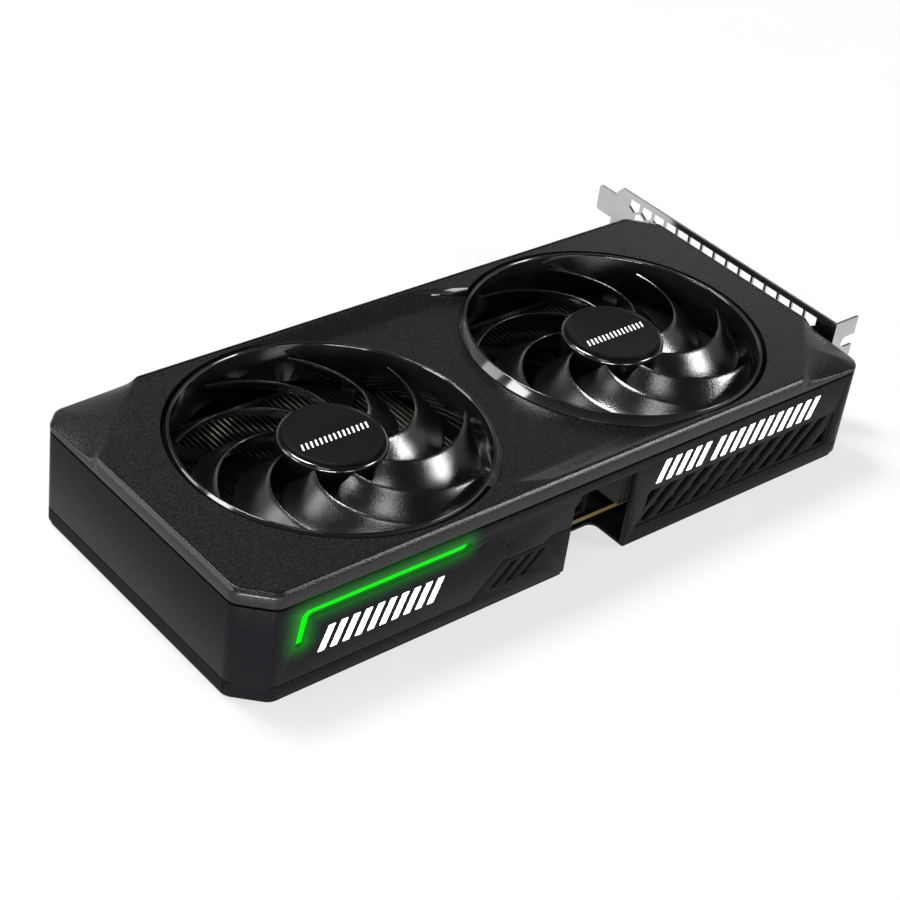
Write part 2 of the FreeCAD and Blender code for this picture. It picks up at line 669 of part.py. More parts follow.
def make_motor(fan, x):
    """The fixed part of a fan: the frame with four arms, bearing, motor board and stator."""
    low = d.fan_plate_low
    sheet_height = d.fan_plate_high - low
    disc = rod(f"{fan}_plate_disc", d.hub_radius, sheet_height, (x, d.fan_side, low))
    arms = []
    for index, turn in enumerate((45.0, 135.0)):
        arm = doc.addObject("Part::Box", f"{fan}_arm_{index}")
        bind(arm, "Length", d.arm_radius * 2)
        bind(arm, "Width", d.arm_width)
        bind(arm, "Height", sheet_height)
        arm.Placement = FreeCAD.Placement(
            FreeCAD.Vector(), FreeCAD.Rotation(FreeCAD.Vector(0, 0, 1), turn))
        cosine = math.cos(math.radians(turn))
        sine = math.sin(math.radians(turn))
        place(arm, x - d.arm_radius * cosine + d.arm_width * (sine / 2),
              d.fan_side - d.arm_radius * sine - d.arm_width * (cosine / 2), low)
        arms.append(arm)
    spots = list(around(4, d.arm_radius, 45.0))
    pads = [rod(f"{fan}_pad_{index}", 2.9, d.ring_low - low, (x + u, d.fan_side + v, low))
            for index, (u, v) in enumerate(spots)]
    holes = [rod(f"{fan}_pad_hole_{index}", 0.9, 5.0, (x + u, d.fan_side + v, low - 1))
             for index, (u, v) in enumerate(spots)]
    seat = rod(f"{fan}_seat", d.bearing_radius, 4.0, (x, d.fan_side, low + 0.7))
    keep(f"{fan}_frame", cut(f"{fan}_frame_cut", joined(f"{fan}_frame_solid", [disc, *arms, *pads]),
                             [seat, *holes]))
    bearing = rod(f"{fan}_bearing_tube", d.bearing_radius, 10.8, (x, d.fan_side, low + 0.7))
    bore = rod(f"{fan}_bearing_bore", d.bearing_bore, 12.0, (x, d.fan_side, low + 1.5))
    keep(f"{fan}_bearing", cut(f"{fan}_bearing_cut", bearing, [bore]))
    board = rod(f"{fan}_board_disc", 13.2, 0.8, (x, d.fan_side, d.fan_plate_high))
    board_hole = rod(f"{fan}_board_hole", d.bearing_radius, 3.0,
                     (x, d.fan_side, d.fan_plate_high - 1))
    keep(f"{fan}_board", cut(f"{fan}_board_cut", board, [board_hole]))
    core = rod(f"{fan}_stator_core", 6.2, 6.4, (x, d.fan_side, 26.6))
    teeth = [core]
    for index in range(2):
        for part, width, reach, lift, tall in (("tooth", 5.2, 24.6, 28.4, 2.6),
                                               ("coil", 8.6, 20.0, 27.2, 5.2)):
            bar = doc.addObject("Part::Box", f"{fan}_{part}_{index}")
            bind(bar, "Length", reach)
            bind(bar, "Width", width)
            bind(bar, "Height", tall)
            turn = 90.0 * index
            bar.Placement = FreeCAD.Placement(
                FreeCAD.Vector(), FreeCAD.Rotation(FreeCAD.Vector(0, 0, 1), turn))
            if index == 0:
                place(bar, x - reach / 2, d.fan_side - width / 2, lift)
            else:
                place(bar, x + width / 2, d.fan_side - reach / 2, lift)
            teeth.append(bar)
    hole = rod(f"{fan}_stator_hole", d.bearing_radius, 12.0, (x, d.fan_side, 24.0))
    keep(f"{fan}_stator", cut(f"{fan}_stator_cut", joined(f"{fan}_stator_solid", teeth), [hole]))


def screw(name, x, y, z, head_radius, head, shank_radius, shank, up=True):
    """A cross-head screw: its head starts at z and its shank runs the other way."""
    if up:
        top = rod(f"{name}_head", head_radius, head, (x, y, z))
        stem = rod(f"{name}_stem", shank_radius, shank + 0.2, (x, y, z - shank))
        slot_low = z + head - head * 0.5
    else:
        top = rod(f"{name}_head", head_radius, head, (x, y, z - head))
        stem = rod(f"{name}_stem", shank_radius, shank + 0.2, (x, y, z - 0.2))
        slot_low = z - head
    solid = joined(f"{name}_solid", [top, stem])
    reach = head_radius * 1.1
    bars = [
        box(f"{name}_cross_a", (x - reach / 2, y - 0.2, slot_low), (reach, 0.4, head * 0.5)),
        box(f"{name}_cross_b", (x - 0.2, y - reach / 2, slot_low), (0.4, reach, head * 0.5)),
    ]
    return cut(f"{name}_screw", solid, bars)


# ---------------------------------------------------------------- circuit board

def make_board():
    """The circuit board: a bay notch, the edge connector's tongue and its retention hook."""
    low = d.board_low
    edge = d.board_edge
    tip = edge + d.finger_height
    key = d.bracket_face - d.key_offset
    short_end = key + d.key_width / 2 + d.short_fingers
    long_end = key - d.key_width / 2 - d.long_fingers
    notch = d.bay_depth - 0.7
    outline = [
        (d.board_start, d.board_side), (d.bay_start - 0.6, d.board_side),
        (d.bay_start - 0.6, notch), (d.bay_end + d.board_relief, notch),
        (d.bay_end + d.board_relief, d.board_side),
        (d.board_end, d.board_side), (d.board_end, edge), (short_end + 0.6, edge),
        (short_end + 0.6, tip - 1.2), (short_end - 0.6, tip), (key + d.key_width / 2, tip),
        (key + d.key_width / 2, edge), (key - d.key_width / 2, edge),
        (key - d.key_width / 2, tip), (long_end + 0.6, tip), (long_end - 0.6, tip - 1.2),
        (long_end - 0.6, edge), (long_end - 4.6, edge), (long_end - 4.6, tip - 2.6),
        (long_end - 7.6, tip - 2.6), (long_end - 9.6, edge), (d.board_start, edge),
    ]
    core = slab("board_core", outline, low, d.board_thickness)
    holes = [rod(f"board_hole_{index}", 1.6, 4.0, (x, y, low - 1))
             for index, (x, y) in enumerate([*BOARD_SCREWS, *cooler_screws()])]
    keep("circuit_board", cut("circuit_board_cut", core, holes))

    contacts = []
    for side, height in (("top", BOARD_HIGH), ("under", low - 0.06)):
        for run, start, count in (("short", key + d.key_width / 2 + 0.6, 11),
                                  ("long", long_end + 0.9, 71)):
            for index in range(count):
                contacts.append(box(f"contact_{side}_{run}_{index}",
                                    (start + 1.0 * index, tip - 5.2, height), (0.7, 3.9, 0.06)))
    keep("edge_contacts", grouped("contact_group", contacts))


def cooler_screws():
    """Where the four spring screws hold the cooler against the processor."""
    return [(CHIP_X + u * COOLER_SCREW_REACH, CHIP_Y + v * COOLER_SCREW_REACH)
            for u in (-1, 1) for v in (-1, 1)]


def chip_row(name, spots, size, low):
    """Small rectangular parts centred on a list of places."""
    length, width, height = size
    return grouped(name, [box(f"{name}_{index}", (x - length / 2, y - width / 2, low),
                              (length, width, height)) for index, (x, y) in enumerate(spots)])


def make_components():
    """What is soldered to the board."""
    top = BOARD_HIGH
    keep("chip_carrier", box("carrier", (CHIP_X - 17.0, CHIP_Y - 17.0, top), (34.0, 34.0, 1.3)))
    die_low = top + 1.3
    keep("processor_die", box("die", (CHIP_X - 7.0, CHIP_Y - 6.5, die_low),
                              (14.0, 13.0, d.plate_low - die_low - 0.05)))
    memory = [(CHIP_X - 26.5, CHIP_Y - 9.0), (CHIP_X - 26.5, CHIP_Y + 9.0),
              (CHIP_X + 26.5, CHIP_Y - 9.0), (CHIP_X + 26.5, CHIP_Y + 9.0)]
    keep("memory_chips", chip_row("memory", memory, (12.0, 14.0, 1.1), top))
    keep("memory_pads", chip_row("memory_pad", memory, (11.0, 13.0, d.plate_low - top - 1.1),
                                 top + 1.1))
    coils = [(112.0, 42.0 + 9.0 * index) for index in range(5)]
    keep("power_coils", chip_row("coil", coils, (8.0, 7.6, 4.0), top))
    stages = [(121.0, 42.0 + 9.0 * index) for index in range(5)]
    keep("power_stages", chip_row("stage", stages, (6.0, 5.0, 0.9), top))
    keep("small_chips", chip_row("small_chip", [(140.0, 44.0), (146.0, 86.0), (236.0, 30.0),
                                                (152.0, 30.0)], (5.0, 6.0, 1.2), top))
    keep("clock_crystal", chip_row("crystal", [(230.0, 84.0)], (3.2, 2.5, 0.8), top))
    cans = [rod(f"can_{index}", 2.5, 4.8, (103.0, 45.0 + 8.5 * index, top)) for index in range(5)]
    keep("capacitors", grouped("can_group", cans))
    specks = [(CHIP_X - 14.0 + 4.0 * (index % 8), CHIP_Y + (24.0 if index < 8 else -24.0))
              for index in range(16)]
    keep("chip_capacitors", chip_row("speck", specks, (1.6, 0.8, 0.8), top))


def make_socket():
    """The eight-way power socket that opens into the bay."""
    low = BOARD_HIGH
    start = SOCKET_MIDDLE - d.socket_width / 2
    front = d.bay_depth + 0.9
    shell = box("socket_shell", (start, front, low),
                (d.socket_width, d.socket_depth, d.socket_height))
    latch = box("socket_latch", (SOCKET_MIDDLE - 2.6, front + 2.0, low + d.socket_height),
                (5.2, 5.0, 1.4))
    wells = []
    pins = []
    for row in range(2):
        for column in range(4):
            x = SOCKET_MIDDLE + (column - 1.5) * d.pin_pitch
            z = low + d.socket_height / 2 + (row - 0.5) * d.pin_pitch * 1.1
            wells.append(box(f"well_{row}_{column}", (x - 1.75, front - 1, z - 1.75),
                             (3.5, 11.5, 3.5)))
            pins.append(box(f"pin_{row}_{column}", (x - 0.5, front + 2.5, z - 0.5),
                            (1.0, 8.0, 1.0)))
    keep("power_socket", cut("power_socket_cut", joined("socket_solid", [shell, latch]), wells))
    keep("power_pins", grouped("pin_group", pins))


def make_port(name, middle_y, width, height):
    """One display port: a folded metal shell with its tongue, open through the bracket."""
    low = BOARD_HIGH
    depth = d.port_depth
    wall = d.port_wall
    start = d.bracket_face - depth
    shell = box(f"{name}_shell", (start, middle_y - width / 2, low), (depth, width, height))
    mouth = box(f"{name}_mouth", (start + 4.0, middle_y - width / 2 + wall, low + wall),
                (depth, width - 2 * wall, height - 2 * wall))
    tongue = box(f"{name}_tongue",
                 (start + 4.0, middle_y - width / 2 + 2.4, low + height / 2 - 0.7),
                 (depth - 7.0, width - 4.8, 1.4))
    return cut(f"{name}_hollow", shell, [mouth]), tongue


def make_ports():
    """The row of display sockets."""
    shell, tongue = make_port("wide_port", WIDE_PORT, d.wide_port_width, d.wide_port_height)
    tongues = [tongue]
    keep("wide_port", shell)
    shells = []
    for index in range(PORTS):
        shell, tongue = make_port(f"port_{index}", PORT_START + PORT_PITCH * index,
                                  d.port_width, d.port_height)
        shells.append(shell)
        tongues.append(tongue)
    keep("display_ports", grouped("display_port_group", shells))
    keep("port_tongues", grouped("port_tongue_group", tongues))


# ---------------------------------------------------------------- heatsink

def pipe_places():
    """The middle of each heat pipe across the card."""
    return [d.fan_side + d.pipe_pitch * (index - 1) for index in range(PIPES)]


def make_fins(name, start, count, front):
    """A stack of fins soldered into one piece along folded tabs, bored for the heat pipes."""
    last = d.fin_side + d.fin_width
    run = d.fin_pitch * (count - 1) + d.fin_thickness
    tab = 1.6
    sheet_high = d.fin_high - d.fin_thickness
    places = ((front, sheet_high), (last - tab, sheet_high), (front, d.fin_low),
              (last - tab, d.fin_low))
    tabs = [box(f"{name}_tab_{index}", (start, y, z), (run, tab, d.fin_thickness))
            for index, (y, z) in enumerate(places)]
    fin = box(f"{name}_fin", (start, front, d.fin_low),
              (d.fin_thickness, last - front, d.fin_high - d.fin_low))
    doc.recompute()
    fins = []
    for index in range(count):
        copy = fin.Shape.copy()
        copy.translate(FreeCAD.Vector(float(d.fin_pitch) * index, 0, 0))
        fins.append(copy)
    solid = tabs[0].Shape.fuse([tab.Shape for tab in tabs[1:]] + fins)
    for y in pipe_places():
        base = FreeCAD.Vector(float(start - MIDDLE_X) - 1, float(y - MIDDLE_Y),
                              float(d.pipe_height))
        solid = solid.cut(Part.makeCylinder(float(d.pipe_radius) + 0.05, float(run) + 2, base,
                                            FreeCAD.Vector(1, 0, 0)))
    stack = doc.addObject("Part::Feature", f"{name}_shape")
    stack.Shape = solid.removeSplitter()
    for spare in [fin, *tabs]:
        doc.removeObject(spare.Name)
    keep(name, stack)


def make_heatsink():
    """Fins, heat pipes and the nickel-plated plate that covers the processor and memory."""
    pipes = [rod(f"pipe_{index}", d.pipe_radius, d.pipe_length,
                 (d.pipe_start, y, d.pipe_height), "X")
             for index, y in enumerate(pipe_places())]
    keep("heat_pipes", grouped("pipe_group", pipes))
    make_fins("fin_stack_tail", Size(6.0, "6"), 56, d.fin_side)
    make_fins("fin_stack_middle", Size(122.0, "122"), 14, d.fin_side + 30.0)
    make_fins("fin_stack_nose", Size(152.0, "152"), 46, d.fin_side)
    plate = box("plate_block", (CHIP_X - d.plate_length / 2, CHIP_Y - d.plate_width / 2,
                                d.plate_low),
                (d.plate_length, d.plate_width, d.plate_high - d.plate_low))
    holes = [rod(f"plate_hole_{index}", 1.3, 6.0, (x, y, d.plate_low - 1))
             for index, (x, y) in enumerate(cooler_screws())]
    groove_length = d.plate_length + 6.0
    grooves = [rod(f"plate_groove_{index}", d.pipe_radius + 0.05, groove_length,
                   (CHIP_X - groove_length / 2, y, d.pipe_height), "X")
               for index, y in enumerate(pipe_places())]
    keep("cold_plate", cut("cold_plate_cut", plate, [*holes, *grooves]))
    rail = [box(f"rail_{index}", (8.0, y, 8.6), (106.0, 8.0, d.fin_low - 8.6))
            for index, y in enumerate((14.0, 88.0))]
    keep("fin_rails", grouped("rail_group", rail))


# ---------------------------------------------------------------- bracket

def make_bracket():
    """The steel bracket: vented plate, folded flange with two screw notches, two slot tongues."""
    low = d.bracket_low
    high = low + d.bracket_width
    side = d.bracket_side
    shoulder = BRACKET_FAR - d.tongue_length
    first_low = low + d.slot_height - d.tongue_width / 2
    second_low = first_low + d.slot_pitch
    outline = [
        (side, low), (shoulder - 2.6, low), (shoulder, first_low), (BRACKET_FAR - 0.8, first_low),
        (BRACKET_FAR, first_low + 0.8), (BRACKET_FAR, first_low + d.tongue_width - 0.8),
        (BRACKET_FAR - 0.8, first_low + d.tongue_width), (shoulder, first_low + d.tongue_width),
        (shoulder, second_low), (BRACKET_FAR - 0.8, second_low), (BRACKET_FAR, second_low + 0.8),
        (BRACKET_FAR, second_low + d.tongue_width - 0.8),
        (BRACKET_FAR - 0.8, second_low + d.tongue_width), (shoulder, second_low + d.tongue_width),
        (shoulder - 3.4, high), (side, high),
    ]
    plate = wall_plate("bracket_sheet", outline, BRACKET_INNER, d.bracket_sheet)
    flange = box("bracket_flange", (BRACKET_INNER, side, low),
                 (d.flange_depth, d.bracket_sheet, d.bracket_width))
    notches = []
    flange_end = BRACKET_INNER + d.flange_depth
    for index in range(2):
        x = flange_end - d.notch_inset
        z = low + d.slot_height + d.slot_pitch * index
        notches.append(rod(f"notch_{index}", d.notch_radius, 4.0, (x, side - CLEAR, z), "Y"))
        notches.append(box(f"notch_mouth_{index}", (x, side - CLEAR, z - d.notch_radius),
                           (6.0, 4.0, d.notch_radius * 2)))
    vents = []
    for row in range(VENT_ROWS):
        odd = row % 2
        for column in range(VENT_COLUMNS - odd):
            y = d.vent_start + d.vent_pitch * (column + 0.5 * odd)
            z = high - d.vent_top - d.vent_radius / 2 - d.vent_row * row
            vents.append(hexagon(f"vent_{row}_{column}", y, z))
    # The top row's points are cut off level, which leaves a straight strip along the edge.
    limit = box("vent_limit", (BRACKET_INNER - 3, side, low),
                (9.0, d.bracket_length, d.bracket_width - d.vent_top))
    vent_field = common("vent_field", joined("vent_row", vents), limit)
    gap = 0.4
    openings = [(WIDE_PORT, d.wide_port_width, d.wide_port_height)]
    for index in range(PORTS):
        openings.append((PORT_START + PORT_PITCH * index, d.port_width, d.port_height))
    windows = []
    for index, (y, width, height) in enumerate(openings):
        windows.append(box(f"window_{index}",
                           (BRACKET_INNER - 2, y - width / 2 - gap, BOARD_HIGH - gap),
                           (5.0, width + 2 * gap, height + 2 * gap)))
    solid = joined("bracket_solid", [plate, flange])
    keep("bracket", cut("bracket_cut", solid, [*notches, *windows, vent_field]))


def hexagon(name, middle_y, middle_z):
    """A six-sided opening through the bracket, with upright sides."""
    made = doc.addObject("Part::Prism", name)
    made.Polygon = 6
    made.Placement = FreeCAD.Placement(FreeCAD.Vector(), TURNS["X"])
    bind(made, "Circumradius", d.vent_radius)
    bind(made, "Height", 6.0)
    place(made, BRACKET_INNER - 2, middle_y, middle_z)
    return made


# ---------------------------------------------------------------- fasteners and leads

def make_fasteners():
    """Screws, springs and spacers, with identical ones in one node."""
    plate_screws = [screw(f"plate_screw_{index}", x, y, ZERO + 0.9, 1.4, 0.7, 1.2, 3.4,
                          up=False)
                    for index, (x, y) in enumerate(BOARD_SCREWS)]
    keep("backplate_screws", grouped("plate_screw_group", plate_screws))
    spacers = []
    for index, (x, y) in enumerate(BOARD_SCREWS):
        sleeve = rod(f"spacer_{index}_sleeve", 2.8, d.board_low - d.backplate_thickness,
                     (x, y, d.backplate_thickness))
        bore = rod(f"spacer_{index}_bore", 1.3, 8.0, (x, y, ZERO - 1))
        spacers.append(cut(f"spacer_{index}", sleeve, [bore]))
    keep("backplate_spacers", grouped("spacer_group", spacers))
    cooler = []
    springs = []
    for index, (x, y) in enumerate(cooler_screws()):
        cooler.append(screw(f"cooler_screw_{index}", x, y, d.board_low - 1.6, 2.6, 1.0, 1.15, 7.6,
                            up=False))
        ring = rod(f"spring_{index}_outer", 2.3, 1.4, (x, y, d.board_low - 1.5))
        hole = rod(f"spring_{index}_hole", 1.3, 4.0, (x, y, d.board_low - 3.0))
        springs.append(cut(f"spring_{index}", ring, [hole]))
    keep("cooler_screws", grouped("cooler_screw_group", cooler))
    keep("cooler_springs", grouped("cooler_spring_group", springs))
    frame_screws = []
    for fan, x in FANS.items():
        for index, (u, v) in enumerate(around(4, d.arm_radius, 45.0)):
            frame_screws.append(screw(f"{fan}_frame_screw_{index}", x + u, d.fan_side + v,
                                      d.fan_plate_low, 1.5, 0.6, 0.75, 5.6, up=False))
    keep("fan_frame_screws", grouped("fan_frame_screw_group", frame_screws))
    bracket_screws = []
    for index, (y, z) in enumerate(BRACKET_SCREWS):
        head = cone(f"bracket_screw_head_{index}", 2.3, 1.6, 1.0, (d.bracket_face, y, z), "X")
        slot_a = box(f"bracket_cross_a_{index}", (d.bracket_face + 0.4, y - 1.4, z - 0.25),
                     (2.0, 2.8, 0.5))
        slot_b = box(f"bracket_cross_b_{index}", (d.bracket_face + 0.4, y - 0.25, z - 1.4),
                     (2.0, 0.5, 2.8))
        bracket_screws.append(cut(f"bracket_screw_{index}", head, [slot_a, slot_b]))
    keep("bracket_screws", grouped("bracket_screw_group", bracket_screws))
    tabs = []
    for index, (y, z) in enumerate(BRACKET_SCREWS):
        tabs.append(rod(f"bracket_nut_{index}", 2.6, 2.0, (BRACKET_INNER - 2.0, y, z), "X"))
    keep("bracket_nuts", grouped("bracket_nut_group", tabs))


def make_connectors():
    """The fans' and the light's plugs, and their sockets on the board."""
    top = BOARD_HIGH
    sockets = [box(f"lead_socket_{index}", (98.5, y, top), (5.0, 9.0, 4.4))
               for index, y in enumerate(LEAD_PLACES)]
    keep("lead_sockets", grouped("lead_socket_group", sockets))
    plugs = [box(f"lead_plug_{index}", (94.3, y + 0.7, top + 0.6), (4.2, 7.6, 3.2))
             for index, y in enumerate(LEAD_PLACES)]
    keep("lead_plugs", grouped("lead_plug_group", plugs))


make_cover()
for fan, fan_x in FANS.items():
    make_ring(fan, fan_x)
    make_motor(fan, fan_x)
    make_rotor(fan, fan_x, PHASES[fan])
make_frame()
make_light()
make_backplate()
make_board()
make_components()
make_socket()
make_ports()
make_heatsink()
make_bracket()
make_fasteners()
make_connectors()

doc.recompute()
broken = [item.Name for item in doc.Objects
          if "Invalid" in item.State or "Error" in item.State]
if broken:
    raise RuntimeError(f"objects that failed: {broken}")
for label, made in nodes.items():
    if made.Shape.isNull() or not made.Shape.isValid():
        raise RuntimeError(f"{label} has no valid shape")

os.makedirs("parts", exist_ok=True)
for label, made in nodes.items():
    made.Shape.exportStep(f"parts/{label}.step")
    box_of = made.Shape.BoundBox
    print(f"{label:20s} solids {len(made.Shape.Solids):3d}  volume {made.Shape.Volume:10.1f}  "
          f"x {box_of.XMin:7.1f} {box_of.XMax:7.1f}  y {box_of.YMin:7.1f} {box_of.YMax:7.1f}  "
          f"z {box_of.ZMin:6.2f} {box_of.ZMax:6.2f}")
print(len(nodes), "nodes")
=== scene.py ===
import json
import math

import bmesh
import bpy
import numpy as np
from mathutils import Matrix, Vector


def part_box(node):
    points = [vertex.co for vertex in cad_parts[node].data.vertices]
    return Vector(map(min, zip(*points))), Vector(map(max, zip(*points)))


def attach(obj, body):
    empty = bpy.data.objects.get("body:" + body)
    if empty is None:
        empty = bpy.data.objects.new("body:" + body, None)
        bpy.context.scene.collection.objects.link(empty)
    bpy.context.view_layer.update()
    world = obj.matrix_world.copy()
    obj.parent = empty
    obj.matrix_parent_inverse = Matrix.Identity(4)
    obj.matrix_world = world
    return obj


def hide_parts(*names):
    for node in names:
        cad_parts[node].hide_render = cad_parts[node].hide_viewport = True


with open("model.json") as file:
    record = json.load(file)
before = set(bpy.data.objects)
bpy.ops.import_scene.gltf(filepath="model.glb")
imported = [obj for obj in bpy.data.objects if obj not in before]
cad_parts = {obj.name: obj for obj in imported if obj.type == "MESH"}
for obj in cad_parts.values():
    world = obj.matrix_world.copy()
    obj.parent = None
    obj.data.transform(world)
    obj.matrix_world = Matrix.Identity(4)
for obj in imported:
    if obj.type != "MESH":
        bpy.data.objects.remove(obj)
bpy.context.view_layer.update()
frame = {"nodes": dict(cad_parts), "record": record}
scene = bpy.context.scene

# A two-slot graphics card on its backplate.  Places are written in card millimetres: x from the
# tail end, y from the light bar's side, z from the resting face.  ORIGIN carries them to the frame.
MM = 0.001
cover_low, cover_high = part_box("top_cover")
ORIGIN = Vector((cover_low.x, cover_low.y, 0.0))
LENGTH = (cover_high.x - cover_low.x) / MM
WIDTH = (cover_high.y - cover_low.y) / MM
TOP = cover_high.z / MM


def card(point):
    """A frame point in card millimetres."""
    return (Vector(point) - ORIGIN) / MM


def frame_mm(point):
    """A card point in frame millimetres."""
    return [coordinate + shift / MM for coordinate, shift in zip(point, ORIGIN)]


def node_box(node):
    """A CAD node's lowest and highest corners in card millimetres."""
    low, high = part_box(node)
    return card(low), card(high)


FANS = {}
for fan in ("fan_1", "fan_2"):
    low, high = node_box(f"{fan}_disc")
    FANS[fan] = (low + high) / 2

# Outline of the card seen from above
CORNER_CUT = 9.5
FAR_CUT = 6.0
CORNER_ROUND = 5.0
NOSE_ROUND = 6.5
SEAM_HIGH = 35.0
SEAM_LOW = 33.9
FRAME_LOW = 1.3
WALL = 2.0
OPENING = 52.4


# ---------------- mesh helpers

def add_mesh(name, solid, look, body, sharp=40.0):
    """A closed mesh from points in card millimetres and faces, riding on a body."""
    points, faces = solid
    mesh = bpy.data.meshes.new(name)
    placed = np.asarray(points, float) * MM + np.array(ORIGIN)
    mesh.from_pydata([tuple(point) for point in placed], [], faces)
    work = bmesh.new()
    work.from_mesh(mesh)
    bmesh.ops.remove_doubles(work, verts=work.verts, dist=1e-7)
    bmesh.ops.recalc_face_normals(work, faces=work.faces)
    work.to_mesh(mesh)
    work.free()
    return finish_piece(name, mesh, look, body, sharp)


def finish_piece(name, mesh, look, body, sharp=40.0):
    """Make an object of a mesh, give it its look and hang it on its body."""
    mesh.materials.clear()
    mesh.materials.append(MATERIALS[look])
    mesh.polygons.foreach_set("use_smooth", [True] * len(mesh.polygons))
    mesh.set_sharp_from_angle(angle=math.radians(sharp))
    piece = bpy.data.objects.new(name, mesh)
    scene.collection.objects.link(piece)
    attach(piece, body)
    return piece


def rounded(corners, radii, closed=True, step=15.0):
    """A polygon with its corners replaced by arcs; radii is one number or one per corner."""
    count = len(corners)
    if isinstance(radii, (int, float)):
        radii = [radii] * count
    result = []
    for index, radius in enumerate(radii):
        here = Vector(corners[index])
        if radius <= 0 or (not closed and index in (0, count - 1)):
            result.append(here)
            continue
        before = Vector(corners[index - 1]) - here
        after = Vector(corners[(index + 1) % count]) - here
        bend = math.pi - before.angle(after)
        if bend < 1e-4:
            result.append(here)
            continue
        reach = radius * math.tan(bend / 2)
        start = here + before.normalized() * reach
        end = here + after.normalized() * reach
        middle = (before.normalized() + after.normalized()).normalized()
        centre = here + middle * math.hypot(reach, radius)
        steps = max(2, math.ceil(math.degrees(bend) / step))
        first = start - centre
        turn = first.angle_signed(end - centre)
        for part in range(steps + 1):
            angle = -turn * part / steps
            spun = Vector((first.x * math.cos(angle) - first.y * math.sin(angle),
                           first.x * math.sin(angle) + first.y * math.cos(angle)))
            result.append(centre + spun)
    return result


def turned(profile, centre, steps=180):
    """Points and faces of a solid of revolution: profile is a closed loop of (radius, z)."""
    count = len(profile)
    points = []
    for step in range(steps):
        angle = 2 * math.pi * step / steps
        for radius, height in profile:
            points.append((centre[0] + radius * math.cos(angle),
                           centre[1] + radius * math.sin(angle), height))
    faces = []
    for step in range(steps):
        following = (step + 1) % steps
        for index in range(count):
            after = (index + 1) % count
            faces.append((step * count + index, following * count + index,
                          following * count + after, step * count + after))
    return points, faces


def merged(parts):
    """Several (points, faces) as one."""
    points = []
    faces = []
    for part_points, part_faces in parts:
        shift = len(points)
        points.extend(part_points)
        faces.extend(tuple(index + shift for index in face) for face in part_faces)
    return points, faces


def prism(outline, low, high, place=lambda u, v, w: (u, v, w)):
    """A straight block of any outline; place turns (u, v, height) into card millimetres."""
    count = len(outline)
    points = [place(u, v, low) for u, v in outline] + [place(u, v, high) for u, v in outline]
    faces = [tuple(range(count)), tuple(range(2 * count - 1, count - 1, -1))]
    for index in range(count):
        after = (index + 1) % count
        faces.append((index, after, after + count, index + count))
    return points, faces


def on_side(u, v, w):
    """For prisms that stand across Y: (x, z, y)."""
    return (u, w, v)


def on_end(u, v, w):
    """For prisms that stand across X: (y, z, x)."""
    return (w, u, v)


def rectangle(low_u, low_v, high_u, high_v):
    """A rectangle as four corners."""
    return [(low_u, low_v), (high_u, low_v), (high_u, high_v), (low_u, high_v)]


def work_object(name, mesh):
    """An object that holds a mesh while a modifier acts on it."""
    thing = bpy.data.objects.new(name, mesh)
    scene.collection.objects.link(thing)
    return thing


def modified(thing):
    """The mesh that an object's modifiers make."""
    bpy.context.view_layer.update()
    graph = bpy.context.evaluated_depsgraph_get()
    return bpy.data.meshes.new_from_object(thing.evaluated_get(graph))


def carved(name, base, cutters):
    """A mesh of the base with cutters taken out of it by boolean difference."""
    objects = []
    for part in (base, merged(cutters)):
        mesh = bpy.data.meshes.new(f"{name}_work")
        mesh.from_pydata([tuple(Vector(point) * MM + ORIGIN) for point in part[0]], [], part[1])
        work = bmesh.new()
        work.from_mesh(mesh)
        bmesh.ops.recalc_face_normals(work, faces=work.faces)
        work.to_mesh(mesh)
        work.free()
        objects.append(work_object(f"{name}_work", mesh))
    body, tool = objects
    boolean = body.modifiers.new("cut", "BOOLEAN")
    boolean.operation = "DIFFERENCE"
    boolean.solver = "EXACT"
    boolean.use_self = True
    boolean.object = tool
    result = modified(body)
    for thing in objects:
        bpy.data.objects.remove(thing)
    work = bmesh.new()
    work.from_mesh(result)
    bmesh.ops.remove_doubles(work, verts=work.verts, dist=2e-6)
    bmesh.ops.dissolve_limit(work, angle_limit=math.radians(0.5), verts=work.verts,
                             edges=work.edges)
    work.to_mesh(result)
    work.free()
    return result


def eased(mesh, width, segments=2, angle=35.0):
    """The mesh with its hard edges rounded over."""
    holder = work_object("eased_work", mesh)
    bevel = holder.modifiers.new("ease", "BEVEL")
    bevel.width = width * MM
    bevel.segments = segments
    bevel.limit_method = "ANGLE"
    bevel.angle_limit = math.radians(angle)
    bevel.use_clamp_overlap = False
    result = modified(holder)
    bpy.data.objects.remove(holder)
    return result


# ---------------- materials

def set_sockets(node, sockets):
    """Set a node's input values by their names."""
    for socket, value in sockets.items():
        node.inputs[socket].default_value = value


def shader(name, colour, roughness, metallic=0.0, coat=0.0, coat_roughness=0.1, specular=0.5):
    """A new material with a Principled shader; returns it with its node tree and shader."""
    material = bpy.data.materials.new(name)
    material.use_nodes = True
    tree = material.node_tree
    principled = tree.nodes["Principled BSDF"]
    sockets = {"Base Color": (*colour, 1.0), "Roughness": roughness, "Metallic": metallic,
               "Coat Weight": coat, "Coat Roughness": coat_roughness,
               "Specular IOR Level": specular}
    set_sockets(principled, sockets)
    return material, tree, principled


def object_place(tree, stretch=(1.0, 1.0, 1.0)):
    """Object coordinates in millimetres, stretched along each axis."""
    coordinates = tree.nodes.new("ShaderNodeTexCoord")
    mapping = tree.nodes.new("ShaderNodeMapping")
    mapping.inputs["Scale"].default_value = [factor / MM for factor in stretch]
    tree.links.new(coordinates.outputs["Object"], mapping.inputs["Vector"])
    return mapping.outputs["Vector"]


